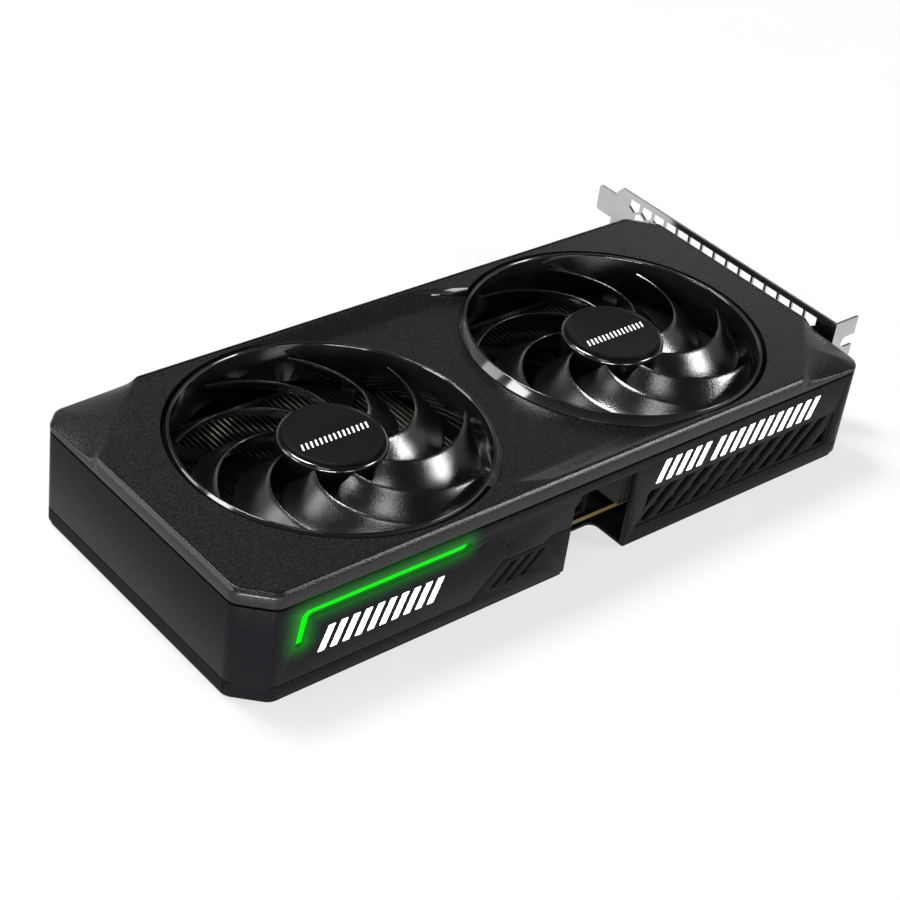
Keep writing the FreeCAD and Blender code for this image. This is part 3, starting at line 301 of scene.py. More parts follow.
def noise(tree, vector, size, detail=2.0, roughness=0.5):
    """Noise whose blobs are about size millimetres across."""
    texture = tree.nodes.new("ShaderNodeTexNoise")
    set_sockets(texture, {"Scale": 1.0 / size, "Detail": detail, "Roughness": roughness})
    tree.links.new(vector, texture.inputs["Vector"])
    return texture.outputs["Fac"]


def ramp(tree, value, low, high, span=(0.3, 0.7)):
    """Map a value to a number between low and high."""
    mapped = tree.nodes.new("ShaderNodeMapRange")
    set_sockets(mapped, {"From Min": span[0], "From Max": span[1], "To Min": low, "To Max": high})
    tree.links.new(value, mapped.inputs["Value"])
    return mapped.outputs["Result"]


def maths(tree, kind, operation, *values):
    """A maths node fed with sockets and plain values, as its outputs."""
    node = tree.nodes.new(f"ShaderNode{kind}")
    node.operation = operation
    for socket, value in zip(node.inputs, values):
        if isinstance(value, bpy.types.NodeSocket):
            tree.links.new(value, socket)
        else:
            socket.default_value = value
    return node.outputs


def blend_colours(tree, factor, first, second):
    """Mix two colours by a factor."""
    mixed = tree.nodes.new("ShaderNodeMix")
    mixed.data_type = "RGBA"
    mixed.inputs["A"].default_value = (*first, 1.0)
    mixed.inputs["B"].default_value = (*second, 1.0)
    tree.links.new(factor, mixed.inputs["Factor"])
    return mixed.outputs["Result"]


def bump(tree, principled, height, depth):
    """Raise the surface by a height map, depth in millimetres."""
    node = tree.nodes.new("ShaderNodeBump")
    set_sockets(node, {"Strength": 1.0, "Distance": depth * MM})
    tree.links.new(height, node.inputs["Height"])
    tree.links.new(node.outputs["Normal"], principled.inputs["Normal"])


def moulded(name, colour, roughness, grain, depth, spread=0.08, coat=0.0, specular=0.5,
            shade=0.25, speckle=0.0, glow=0.0, coat_roughness=0.1):
    """Moulded plastic: fine grain, patchy gloss and a slow drift of shade."""
    material, tree, principled = shader(name, colour, roughness, coat=coat, specular=specular,
                                        coat_roughness=coat_roughness)
    set_sockets(principled, {"Emission Color": (1.0, 1.0, 1.0, 1.0), "Emission Strength": glow})
    place = object_place(tree)
    fine = noise(tree, place, grain, 3.0, 0.6)
    patches = noise(tree, place, 18.0, 2.0)
    dark = tuple(channel * (1 - shade) for channel in colour)
    light = tuple(channel * (1 + shade) for channel in colour)
    factor = ramp(tree, patches, 0.0, 1.0)
    if speckle:
        factor = ramp(tree, fine, 0.0, 1.0, (0.5 - speckle, 0.5 + speckle))
    tree.links.new(blend_colours(tree, factor, dark, light), principled.inputs["Base Color"])
    tree.links.new(ramp(tree, fine, roughness - spread, roughness + spread),
                   principled.inputs["Roughness"])
    bump(tree, principled, fine, depth)
    return material


def metal(name, colour, roughness, stretch=(1.0, 1.0, 1.0), grain=0.4, depth=0.004, spread=0.08,
          shade=0.12):
    """Metal with fine directional brushing and slight staining."""
    material, tree, principled = shader(name, colour, roughness, metallic=1.0)
    place = object_place(tree, stretch)
    lines = noise(tree, place, grain, 3.0, 0.7)
    stains = noise(tree, object_place(tree), 9.0, 3.0)
    dark = tuple(channel * (1 - shade) for channel in colour)
    tree.links.new(blend_colours(tree, ramp(tree, stains, 0.0, 1.0), dark, colour),
                   principled.inputs["Base Color"])
    tree.links.new(ramp(tree, lines, roughness - spread, roughness + spread),
                   principled.inputs["Roughness"])
    bump(tree, principled, lines, depth)
    return material


def laminate(name, face, edge, roughness):
    """A circuit board: a dark mask on both faces and bare laminate along the edges."""
    material, tree, principled = shader(name, face, roughness, specular=0.15)
    coordinates = tree.nodes.new("ShaderNodeTexCoord")
    split = tree.nodes.new("ShaderNodeSeparateXYZ")
    tree.links.new(coordinates.outputs["Normal"], split.inputs["Vector"])
    upright = maths(tree, "Math", "ABSOLUTE", split.outputs["Z"])["Value"]
    factor = ramp(tree, upright, 1.0, 0.0, (0.4, 0.6))
    layers = noise(tree, object_place(tree, (1.0, 1.0, 6.0)), 1.5)
    bare = blend_colours(tree, layers, tuple(channel * 0.8 for channel in edge), edge)
    mixed = blend_colours(tree, factor, face, edge)
    tree.links.new(bare, mixed.node.inputs["B"])
    tree.links.new(mixed, principled.inputs["Base Color"])
    bump(tree, principled, layers, 0.01)
    return material


def glowing(name, colour, strength, specular=0.5):
    """A lit lens, slightly uneven along its length."""
    material, tree, principled = shader(name, (0.001, 0.03, 0.002), 0.35, specular=specular)
    uneven = noise(tree, object_place(tree), 3.0)
    principled.inputs["Emission Color"].default_value = (*colour, 1.0)
    tree.links.new(ramp(tree, uneven, strength * 0.9, strength * 1.1),
                   principled.inputs["Emission Strength"])
    return material


def segment_distance(tree, place, low, high):
    """Distance from a line that runs along one axis, given by its lowest and highest points."""
    above = maths(tree, "VectorMath", "MAXIMUM", place, low)["Vector"]
    nearest = maths(tree, "VectorMath", "MINIMUM", above, high)["Vector"]
    return maths(tree, "VectorMath", "DISTANCE", place, nearest)["Value"]


def painted_glow_wall(name, base, segments, reach, strength):
    """A copy of a plastic with the light bar's glow painted on it as emission that fades away from
    the lit line.
    """
    material = base.copy()
    material.name = name
    tree = material.node_tree
    principled = tree.nodes["Principled BSDF"]
    place = object_place(tree)
    distance = None
    for low, high in segments:
        found = segment_distance(tree, place, *(frame_mm(end) for end in (low, high)))
        if distance is not None:
            found = maths(tree, "Math", "MINIMUM", distance, found)["Value"]
        distance = found
    near = ramp(tree, distance, 1.0, 0.0, (0.0, reach))
    faded = maths(tree, "Math", "POWER", near, GLOW_FALLOFF)["Value"]
    principled.inputs["Emission Color"].default_value = (0.02, 1.0, 0.03, 1.0)
    tree.links.new(ramp(tree, faded, 0.0, strength, (0.0, 1.0)),
                   principled.inputs["Emission Strength"])
    return material


MATERIALS = {
    "textured_plastic": moulded("textured_plastic", (0.004, 0.004, 0.0046), 0.28, 0.5, 0.05,
                                specular=0.3, shade=0.6, speckle=0.2),
    "satin_plastic": moulded("satin_plastic", (0.004, 0.004, 0.005), 0.33, 0.5, 0.045,
                             specular=0.045, shade=0.6, speckle=0.2),
    "gloss_trim": moulded("gloss_trim", (0.003, 0.003, 0.0035), 0.1, 6.0, 0.004, 0.03,
                          specular=0.8),
    "fan_plastic": moulded("fan_plastic", (0.002, 0.002, 0.0024), 0.2, 0.62, 0.06, 0.05,
                           coat=0.1, specular=0.8, coat_roughness=0.3),
    "hub_gloss": moulded("hub_gloss", (0.002, 0.002, 0.0024), 0.13, 6.0, 0.003, 0.03,
                         specular=0.7),
    "disc_plastic": moulded("disc_plastic", (0.004, 0.004, 0.0045), 0.33, 0.3, 0.01,
                            specular=0.05),
    "frame_plastic": moulded("frame_plastic", (0.006, 0.006, 0.006), 0.5, 0.4, 0.02),
    "brass": metal("brass", (0.72, 0.52, 0.22), 0.28),
    "shaft_steel": metal("shaft_steel", (0.6, 0.6, 0.61), 0.2),
    "magnet": moulded("magnet", (0.03, 0.028, 0.027), 0.5, 0.3, 0.02),
    "motor_board": moulded("motor_board", (0.012, 0.05, 0.02), 0.4, 1.5, 0.02),
    "winding": metal("winding", (0.55, 0.24, 0.09), 0.35, (1.0, 1.0, 8.0), 1.2, 0.05),
    "light_lens": glowing("light_lens", (0.0, 1.0, 0.02), 0.055),
    "lamp": glowing("lamp", (0.0, 1.0, 0.0), 1.15, specular=0.0),
    "backplate_metal": moulded("backplate_metal", (0.004, 0.004, 0.0045), 0.45, 0.25, 0.02,
                               specular=0.05),
    "board": laminate("board", (0.003, 0.003, 0.003), (0.09, 0.068, 0.024), 0.4),
    "contact_gold": metal("contact_gold", (0.83, 0.62, 0.24), 0.25),
    "carrier": moulded("carrier", (0.02, 0.06, 0.03), 0.4, 0.8, 0.01),
    "silicon": moulded("silicon", (0.05, 0.05, 0.06), 0.1, 2.0, 0.002),
    "chip_plastic": moulded("chip_plastic", (0.02, 0.02, 0.021), 0.55, 0.3, 0.02),
    "pad": moulded("pad", (0.32, 0.36, 0.4), 0.7, 0.5, 0.05),
    "can_aluminium": metal("can_aluminium", (0.75, 0.75, 0.76), 0.25),
    "ceramic": moulded("ceramic", (0.42, 0.33, 0.24), 0.5, 0.3, 0.01),
    "crystal_steel": metal("crystal_steel", (0.7, 0.7, 0.68), 0.22),
    "socket_plastic": moulded("socket_plastic", (0.004, 0.004, 0.004), 0.4, 0.3, 0.02,
                              specular=0.15),
    "pin_metal": metal("pin_metal", (0.8, 0.78, 0.72), 0.3),
    "port_steel": metal("port_steel", (0.62, 0.62, 0.62), 0.3),
    "fin_aluminium": metal("fin_aluminium", (0.4, 0.38, 0.34), 0.36, (1.0, 1.0, 6.0), 0.8, 0.01),
    "nickel": metal("nickel", (0.72, 0.7, 0.66), 0.18),
    "bracket_steel": metal("bracket_steel", (0.5, 0.5, 0.5), 0.17, (8.0, 1.0, 8.0), 1.6, 0.002,
                           0.04),
    # Near-black plastic for metal fins that lie in shade: painted shade
    "painted_shade_fins": moulded("painted_shade_fins", (0.012, 0.0115, 0.011), 0.45, 0.8, 0.01, specular=0.3),
    "black_screw": metal("black_screw", (0.05, 0.05, 0.05), 0.35),
    "bright_screw": metal("bright_screw", (0.72, 0.72, 0.72), 0.22),
    "spacer_brass": metal("spacer_brass", (0.7, 0.5, 0.24), 0.3),
    "spring_steel": metal("spring_steel", (0.6, 0.6, 0.6), 0.25),
    "lead_plastic": moulded("lead_plastic", (0.5, 0.48, 0.42), 0.45, 0.4, 0.02),
    # White print that also glows a little: the glow is painted light
    "mark_paint_and_glow": moulded("mark_paint_and_glow", (0.92, 0.92, 0.92), 0.45, 0.3, 0.004, shade=0.04,
                          glow=0.3),
}


# ---------------- shroud outline

def outline_loop(inset, step=7.5):
    """The card's rounded outline, moved inwards by an inset, anticlockwise from above."""
    low = inset
    far_x = LENGTH - inset
    far_y = WIDTH - inset
    trim = CORNER_CUT - inset * (2 - math.sqrt(2))
    far_trim = FAR_CUT - inset * (2 - math.sqrt(2))
    corners = [(low + trim, low), (far_x, low), (far_x, far_y - trim), (far_x - trim, far_y),
               (low + far_trim, far_y), (low, far_y - far_trim), (low, low + trim)]
    small = max(CORNER_ROUND - inset, 0.4)
    large = max(NOSE_ROUND - inset, 0.4)
    return rounded(corners, [small, large, small, small, small, small, small], step=step)


OUTLINE = np.array([tuple(point) for point in outline_loop(0.0, 3.0)])


def edge_distance(x, y):
    """How far each point is inside the outline."""
    best = np.full(x.shape, 1e9)
    sign = np.ones(x.shape)
    for start, end in zip(OUTLINE, np.roll(OUTLINE, -1, axis=0)):
        along = end - start
        length = math.hypot(*along)
        if length < 1e-6:
            continue
        away_x = x - start[0]
        away_y = y - start[1]
        share = np.clip((away_x * along[0] + away_y * along[1]) / length ** 2, 0, 1)
        distance = np.hypot(away_x - share * along[0], away_y - share * along[1])
        best = np.minimum(best, distance)
        inner = (along[0] * away_y - along[1] * away_x) / length
        sign = np.where(inner < -1e-9, -1.0, sign)
    return best * sign


# ---------------- top cover

PLATEAU = TOP - 0.25
VALLEY_FLOOR = 36.7
RIM = 3.0
VALLEY_RUN = 6.5
# Half the run of the slope between the valley and a fan field; how far the glossy strip on it
# stands out of the cover and reaches down into it
RISER = 0.7
RISER_LIFT = 0.12
RISER_ROOT = 0.6
MIDDLE_X = (FANS["fan_1"].x + FANS["fan_2"].x) / 2
MIDDLE_Y = (FANS["fan_1"].y + FANS["fan_2"].y) / 2
# Ends of the slanted border between a fan field and the valley, from the card's middle
BORDER_INNER = (34.8, 44.0)
BORDER_OUTER = (15.6, 52.3)
# Height of the bead and groove along the edge, against the distance from the outline
EDGE_LEVELS = [0.0, 0.12, 0.5, 0.95, 1.08, 1.18, 1.3, 1.38, 1.46, 1.6, 1.74, 1.82, 1.9, 2.1, 2.4]
EDGE_HEIGHTS = [-1.15, -0.9, -0.42, 0.1, 0.21, 0.24, 0.18, -0.02, -0.3, -0.38, -0.3, -0.12, 0.0,
                0.0, 0.0]
# The upper face's mesh: rays round an opening, rows between it and the edge, the longest ray, and
# the halvings that find the edge on a ray
COVER_RAYS = 720
COVER_ROWS = 30
COVER_REACH = 140.0
HALVINGS = 46
# Corner, the two ends of the facet's border, and the edge's height there and at the corner
FACETS = {
    "nose": ((LENGTH, 0.0), (224.8, 0.0), (LENGTH, 29.0), 37.4, 35.7),
    "tail": ((0.0, WIDTH), (0.0, 79.0), (35.4, WIDTH), 37.7, 36.3),
}


def smooth_step(value, low, high):
    """0 below low, 1 above high and smooth between."""
    share = np.clip((value - low) / (high - low), 0.0, 1.0)
    return share * share * (3 - 2 * share)


def line_side(x, y, start, end):
    """Signed distance from a line: positive on its left."""
    along = Vector(end) - Vector(start)
    length = along.length
    return (along.x * (y - start[1]) - along.y * (x - start[0])) / length


def valley_height(y):
    """The dished section of the valley across the card."""
    rim_near = RIM
    rim_far = WIDTH - RIM
    slope = (PLATEAU - 0.1 - VALLEY_FLOOR) / VALLEY_RUN
    near = slope * (rim_near + VALLEY_RUN - y)
    far = slope * (y - rim_far + VALLEY_RUN)
    climb = np.maximum(near, far)
    # A soft bend between the floor and the slopes
    soft = 0.25
    return VALLEY_FLOOR + soft * np.log1p(np.exp(np.clip(climb / soft, -40, 40)))


def cover_height(x, y):
    """Height of the cover's upper face."""
    distance = edge_distance(x, y)
    # Where the valley is: between the two slanted borders, under both rings
    inner_u, inner_v = BORDER_INNER
    outer_u, outer_v = BORDER_OUTER
    near = line_side(x, y, (MIDDLE_X - inner_u, MIDDLE_Y - inner_v),
                     (MIDDLE_X - outer_u, MIDDLE_Y - outer_v))
    far = line_side(x, y, (MIDDLE_X + inner_u, MIDDLE_Y + inner_v),
                    (MIDDLE_X + outer_u, MIDDLE_Y + outer_v))
    in_near = np.clip((near + RISER) / (2 * RISER), 0.0, 1.0)
    in_far = np.clip((far + RISER) / (2 * RISER), 0.0, 1.0)
    between = ((x > FANS["fan_1"].x) & (x < FANS["fan_2"].x)).astype(float)
    valley = in_near * in_far * between
    height = PLATEAU - (PLATEAU - np.minimum(valley_height(y), PLATEAU)) * valley
    # The two sloping corner facets
    mask = np.zeros(x.shape)
    for corner, start, end, border_height, corner_height in FACETS.values():
        past = line_side(x, y, start, end)
        farthest = float(line_side(corner[0], corner[1], start, end))
        if farthest < 0:
            past = -past
        past = np.maximum(past, 0.0)
        climb = np.clip(past / abs(farthest), 0.0, 1.0)
        edge_height = border_height + (corner_height - border_height) * climb
        share = distance / (distance + past * 0.9 + 1e-6)
        share = np.where(past > 0, share, 1.0)
        drop = (PLATEAU - edge_height) * (1.0 - share)
        height = height - drop
        mask = np.maximum(mask, smooth_step(past, 0.2, 2.4))
    bead = np.interp(distance, EDGE_LEVELS, EDGE_HEIGHTS)
    plain = np.interp(distance, [0.0, 0.15, 0.5, 0.8], [-0.35, -0.15, -0.03, 0.0])
    return height + bead * (1 - mask) + plain * mask


def cover_half(fan, toward):
    """One fan's half of the cover's upper face, as rows of points on rays from the opening."""
    centre = FANS[fan]
    reach_middle = abs(MIDDLE_X - centre.x)
    angles = [2 * math.pi * step / COVER_RAYS for step in range(COVER_RAYS)]
    # More rays, to the points where the edge's levels meet the line between the halves
    special = []
    for level in EDGE_LEVELS:
        for side in (-1, 1):
            away = side * (MIDDLE_Y - level)
            special.append(math.atan2(away, reach_middle))
    local = sorted(set(round(angle % (2 * math.pi), 9) for angle in angles + special))
    if toward < 0:
        local = [(math.pi - angle) % (2 * math.pi) for angle in local]
        local.sort()
    angle = np.array(local)
    step_x = np.cos(angle)
    step_y = np.sin(angle)

    def place(reach):
        return centre.x + reach * step_x, centre.y + reach * step_y

    # Where each ray crosses each level of the edge, found by halving; no ray passes the line
    # between the halves
    ends = []
    for level in EDGE_LEVELS:
        inner = np.full(angle.shape, OPENING)
        outer = np.full(angle.shape, COVER_REACH)
        for _ in range(HALVINGS):
            middle = (inner + outer) / 2
            inside = edge_distance(*place(middle)) > level
            inner = np.where(inside, middle, inner)
            outer = np.where(inside, outer, middle)
        ends.append((inner + outer) / 2)
    facing = step_x * toward
    border = np.where(facing > 1e-6, reach_middle / np.maximum(facing, 1e-6), 1e9)
    ends = [np.minimum(end, border) for end in ends]
    rows = []
    for index in range(COVER_ROWS):
        share = index / COVER_ROWS
        rows.append(OPENING + (ends[-1] - OPENING) * share)
    rows.extend(reversed(ends))
    points = []
    for reach in rows:
        x, y = place(reach)
        x = np.where(np.abs(x - MIDDLE_X) < 1e-4, MIDDLE_X, x)
        points.append(np.stack([x, y, cover_height(x, y)], axis=1))
    return points


def make_riser(name, side, near_share, far_share):
    """A glossy strip on the slope between the valley and a fan field's edge."""
    inner = Vector((MIDDLE_X + side * BORDER_INNER[0], MIDDLE_Y + side * BORDER_INNER[1]))
    outer = Vector((MIDDLE_X + side * BORDER_OUTER[0], MIDDLE_Y + side * BORDER_OUTER[1]))
    along = outer - inner
    across = Vector((-along.y, along.x)).normalized()
    if across.y * side < 0:
        across = -across
    steps = 16
    rows = []
    for index in range(steps + 1):
        share = near_share + (far_share - near_share) * index / steps
        foot = inner + along * share - across * RISER
        head = inner + along * share + across * RISER
        rows.append((foot, head))
    foot_points = np.array([tuple(row[0]) for row in rows])
    head_points = np.array([tuple(row[1]) for row in rows])
    foot_height = cover_height(foot_points[:, 0], foot_points[:, 1])
    head_height = cover_height(head_points[:, 0], head_points[:, 1])
    points = []
    for index in range(steps + 1):
        lift = RISER_LIFT * math.sin(math.pi * index / steps) ** 0.5
        points.append((*foot_points[index], foot_height[index] + lift))
        points.append((*head_points[index], head_height[index] + lift))
        points.append((*head_points[index], head_height[index] - RISER_ROOT))
        points.append((*foot_points[index], foot_height[index] - RISER_ROOT))
    faces = []
    for index in range(steps):
        base = 4 * index
        for corner in range(4):
            after = (corner + 1) % 4
            faces.append((base + corner, base + after, base + 4 + after, base + 4 + corner))
    faces.append((0, 1, 2, 3))
    last = 4 * steps
    faces.append((last + 3, last + 2, last + 1, last))
    add_mesh(name, (points, faces), "gloss_trim", "card")


def make_cover():
    """The cover: its upper face, a flat underside and walls between."""
    parts = []
    for fan, toward in (("fan_1", 1.0), ("fan_2", -1.0)):
        rows = cover_half(fan, toward)
        count = len(rows[0])
        upper = np.concatenate(rows)
        lower_rows = []
        for row in (rows[0], rows[-1]):
            lowered = row.copy()
            lowered[:, 2] = SEAM_HIGH
            lower_rows.append(lowered)
        lower = np.concatenate(lower_rows)
        points = np.concatenate([upper, lower])
        base = len(upper)
        faces = []
        last = len(rows) - 1
        for step in range(count):
            after = (step + 1) % count
            for row in range(last):
                faces.append((row * count + step, row * count + after,
                              (row + 1) * count + after, (row + 1) * count + step))
            faces.append((base + step, base + count + step, base + count + after, base + after))
            faces.append((step, base + step, base + after, after))
            first = rows[-1][step][0]
            second = rows[-1][after][0]
            on_border = abs(first - MIDDLE_X) < 1e-6 and abs(second - MIDDLE_X) < 1e-6
            if not on_border:
                faces.append((last * count + step, last * count + after,
                              base + count + after, base + count + step))
        parts.append(([tuple(point) for point in points], faces))
    piece = add_mesh("cover_shell", merged(parts), "textured_plastic", "card",
                     sharp=38.0)
    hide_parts("top_cover")
    return piece


# ---------------- fans

RING_OUTER = 52.3
RING_INNER = 49.6
RING_LOW = 25.3
RING_WALL = 1.2
HUB_RADIUS = 17.6
HUB_WALL = 1.3
HUB_LOW = 26.9
HUB_TOP = 38.6
DISC_RADIUS = 15.9
DISC_TOP = 39.7
DISC_FACE = DISC_TOP - 0.12
BLADE_TIP = 47.4
BLADES = 9
PHASES = {"fan_1": 58.8, "fan_2": 64.0}
# How far a blade's upper edge sweeps round beyond SWEEP_START, in degrees per millimetre, and how
# much more with its square
SWEEP_START = 20.0
BLADE_SWEEP = 1.45
BLADE_CURL = 0.016
# A blade's section at BLADE_START, and how much its figures change over BLADE_RUN: the angle it
# spans, its rise, and the height of its lower edge
BLADE_START = 17.0
BLADE_RUN = 31.0
BLADE_SPAN = (33.0, -9.0)
BLADE_RISE = (9.6, -1.2)
BLADE_LOW = (27.4, 0.4)
BLADE_SAG = 1.3
# Half a blade's thickness at its edges, and what its middle has more
BLADE_EDGE = 0.28
BLADE_SWELL = 0.42
# The bosses that take the fan frame's screws: their circle round the fan, bore and outside
BOSS_CIRCLE = 52.0
BOSS_BORE = 0.8
BOSS_RADIUS = 2.2


def make_ring(fan):
    """The glossy duct ring, with the four bosses that take the fan frame's screws."""
    centre = FANS[fan]
    inner = RING_INNER
    outer = RING_OUTER
    flange = SEAM_HIGH + 0.2
    corners = [(inner, RING_LOW), (inner + RING_WALL, RING_LOW), (inner + RING_WALL, flange),
               (outer, flange), (outer, VALLEY_FLOOR + 0.4), (outer - 1.8, TOP),
               (inner + 0.35, TOP), (inner, TOP - 0.5)]
    profile = rounded(corners, [0.2, 0.2, 0.1, 0.2, 0.1, 0.25, 0.12, 0.3])
    parts = [turned(profile, centre, 240)]
    for index in range(4):
        angle = math.radians(45 + 90 * index)
        place = (centre.x + BOSS_CIRCLE * math.cos(angle),
                 centre.y + BOSS_CIRCLE * math.sin(angle))
        boss = rounded(rectangle(BOSS_BORE, RING_LOW, BOSS_RADIUS, flange), 0.15)
        parts.append(turned(boss, place, 24))
    piece = add_mesh(f"{fan}_trim", merged(parts), "gloss_trim", "card")
    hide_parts(f"{fan}_ring")


def blade_angle(radius):
    """How far round a blade's upper edge has swept at a radius, in degrees."""
    past = radius - SWEEP_START
    return BLADE_SWEEP * past + BLADE_CURL * past * past


def blade(centre, turn):
    """One blade as a closed shell: a curved sheet with rounded edges."""
    across = 26
    along = 30
    upper = np.zeros((along + 1, across + 1, 3))
    for row in range(along + 1):
        radius = HUB_RADIUS - 0.7 + (BLADE_TIP - HUB_RADIUS + 0.7) * row / along
        share = (radius - BLADE_START) / BLADE_RUN
        span, rise, low = (start + change * share
                           for start, change in (BLADE_SPAN, BLADE_RISE, BLADE_LOW))
        for column in range(across + 1):
            past = column / across
            angle = math.radians(turn + blade_angle(radius) - span * past)
            height = low + rise * (1 - past) - BLADE_SAG * math.sin(math.pi * past)
            upper[row, column] = (centre.x + radius * math.cos(angle),
                                  centre.y + radius * math.sin(angle), height)
    row_step = np.gradient(upper, axis=0)
    column_step = np.gradient(upper, axis=1)
    normal = np.cross(row_step, column_step)
    normal /= np.linalg.norm(normal, axis=2, keepdims=True)
    normal *= np.sign(normal[:, :, 2:3])
    past = np.linspace(0, 1, across + 1)[None, :, None]
    edge = np.minimum(past, 1 - past)
    half = BLADE_EDGE + BLADE_SWELL * np.sqrt(np.clip(np.sin(math.pi * past), 0, 1))
    half = half * np.where(edge < 0.02, 0.55, 1.0)
    front = upper + normal * half
    back = upper - normal * half
    count = across + 1
    points = [tuple(point) for point in front.reshape(-1, 3)]
    points += [tuple(point) for point in back.reshape(-1, 3)]
    base = len(points) // 2
    faces = []
    for row in range(along):
        for column in range(across):
            here = row * count + column
            faces.append((here, here + 1, here + count + 1, here + count))
            faces.append((base + here, base + here + count, base + here + count + 1,
                          base + here + 1))
    border = list(range(across)) + [row * count + across for row in range(along)]
    border += [along * count + column for column in range(across, 0, -1)]
    border += [row * count for row in range(along, 0, -1)]
    for index, here in enumerate(border):
        after = border[(index + 1) % len(border)]
        faces.append((here, base + here, base + after, after))
    return points, faces


def make_rotor(fan):
    """The hub cup, and its blades as a second piece."""
    centre = FANS[fan]
    inner = HUB_RADIUS - HUB_WALL
    roof = HUB_TOP - 1.8
    corners = [(1.25, roof - 1.6), (2.85, roof - 1.6), (2.85, roof), (inner, roof),
               (inner, HUB_LOW), (HUB_RADIUS, HUB_LOW), (HUB_RADIUS, HUB_TOP), (1.25, HUB_TOP)]
    profile = rounded(corners, [0.1, 0.1, 0.3, 0.5, 0.2, 0.3, 1.5, 0.1])
    add_mesh(f"{fan}_hub", turned(profile, centre), "hub_gloss", fan)
    blades = [blade(centre, PHASES[fan] + 360.0 * index / BLADES) for index in range(BLADES)]
    piece = add_mesh(f"{fan}_impeller", merged(blades), "fan_plastic", fan,
                     sharp=50.0)
    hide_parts(f"{fan}_rotor")


def make_disc(fan):
    """The round cover on the hub."""
    centre = FANS[fan]
    corners = [(0.001, HUB_TOP), (DISC_RADIUS, HUB_TOP), (DISC_RADIUS, DISC_TOP),
               (DISC_RADIUS - 0.9, DISC_TOP), (DISC_RADIUS - 1.1, DISC_FACE),
               (0.001, DISC_FACE)]
    profile = rounded(corners, [0, 0.15, 0.3, 0.05, 0.05, 0])
    piece = add_mesh(f"{fan}_cap", turned(profile, centre), "disc_plastic", fan)
    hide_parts(f"{fan}_disc")


# ---------------- side frame

FRAME_INSET = 0.06
EDGE_EASE = 0.14
# Where the cutters start, outside the near side, the tail and the resting face
OUTSIDE = -1.0
BAY_START = 123.1
BAY_END = 149.4
BAY_HEIGHT = 30.4
# The bay's upper corner by the light bar is cut off: how far along, and from what height
BAY_CUT = 2.9
BAY_CUT_LOW = 26.2
SHORT_VENTS = 3
SHORT_START = 91.2
SHORT_PITCH = 5.93
SHORT_LOW = 7.7
SHORT_HIGH = 15.3
SHORT_WIDTH = 2.75
SLOT_START = 155.0
SLOT_LOW = 7.6
SLOT_HIGH = 19.1
SLOT_PITCH = 8.05
SLOT_WIDTH = 4.4
FIELD_START = 156.3
FIELD_END = 244.3
FIELD_DEPTH = 0.6
# The last long vent is a triangle: its corners from the field's end and the vents' low ends
LAST_SLOT = [(-6.0, 0.0), (0.6, 0.0), (0.6, 6.2)]
# Outline of the shallow field round the long vents, with the radii of its corners
FIELD_OUTLINE = [(152.6, 6.6), (246.2, 6.6), (246.2, 20.4), (158.6, 20.4), (156.4, 18.4),
                 (156.4, 11.6)]
FIELD_ROUND = [0.6, 1.6, 2.0, 1.2, 1.2, 1.2]


def clipped(outline, low_u, high_u):
    """A convex outline cut off at two upright lines."""
    def keep_side(points, limit, sign):
        result = []
        for index, here in enumerate(points):
            before = points[index - 1]
            inside = (here[0] - limit) * sign >= 0
            before_inside = (before[0] - limit) * sign >= 0
            if inside != before_inside:
                share = (limit - before[0]) / (here[0] - before[0])
                result.append((limit, before[1] + (here[1] - before[1]) * share))
            if inside:
                result.append(here)
        return result
    return keep_side(keep_side(outline, low_u, 1.0), high_u, -1.0)


# Outline of the light bar's opening, and of the bright line along its upper left edge, each with
# the radii of its corners
LIGHT_OPENING = [(16.4, 17.3), (19.3, 18.0), (21.0, 26.9), (79.0, 26.9), (81.3, 29.2),
                 (79.3, 30.3), (19.8, 30.3), (18.2, 28.7)]
OPENING_ROUND = [0.9, 1.2, 0.5, 0.4, 0.3, 0.5, 0.9, 0.9]
LIGHT_LINE = [(16.75, 19.2), (18.7, 19.2), (20.4, 28.0), (21.4, 28.85), (77.6, 28.85),
              (78.9, 30.15), (19.95, 30.15), (18.4, 28.6)]
LINE_ROUND = [0.3, 0.3, 0.6, 0.6, 0.2, 0.2, 0.9, 0.9]
LIGHT_DEPTH = 0.95
LIGHT_LINE_FACE = 0.35
LENS_BACK = 2.3
# The lit line's two arms, for the glow painted on the wall
GLOW = [((20.0, 0.0, 29.5), (78.0, 0.0, 29.5)), ((17.9, 0.0, 19.5), (18.9, 0.0, 29.0))]
GLOW_REACH = 9.0
GLOW_FALLOFF = 2.6
GLOW_STRENGTH = 0.26


def make_light():
    """The lit bar: a dark lens at the bottom of the opening and a bright line on it."""
    opening = rounded(LIGHT_OPENING, OPENING_ROUND)
    solid = prism(opening, LIGHT_DEPTH, LENS_BACK, on_side)
    lens = add_mesh("light_lens", solid, "light_lens", "card")
    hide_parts("light_bar")
    line = rounded(LIGHT_LINE, LINE_ROUND)
    solid = prism(line, LIGHT_LINE_FACE, LIGHT_DEPTH, on_side)
    add_mesh("light_line", solid, "lamp", "card")


# ---------------- marks

MARK_LEAN = 0.38
MARK_FRONT = 0.02
MARK_BACK = 0.25
# Bars on the side: start, lowest and highest points, width, gap and how many in each group
SIDE_MARKS = [(25.0, 12.6, 21.4, 2.5, 2.0, (10,)), (159.0, 22.0, 30.4, 2.5, 2.1, (5, 11))]
# Bars on a hub disc: the same, from the fan's middle
DISC_MARKS = (-13.6, -3.0, -0.2, 0.6, 1.15, (15,))


def slanted(start, low, high, width, lean=1.0):
    """A bar's outline that leans to the right."""
    shift = (high - low) * lean
    return [(start, low), (start + width, low), (start + width + shift, high),
            (start + shift, high)]


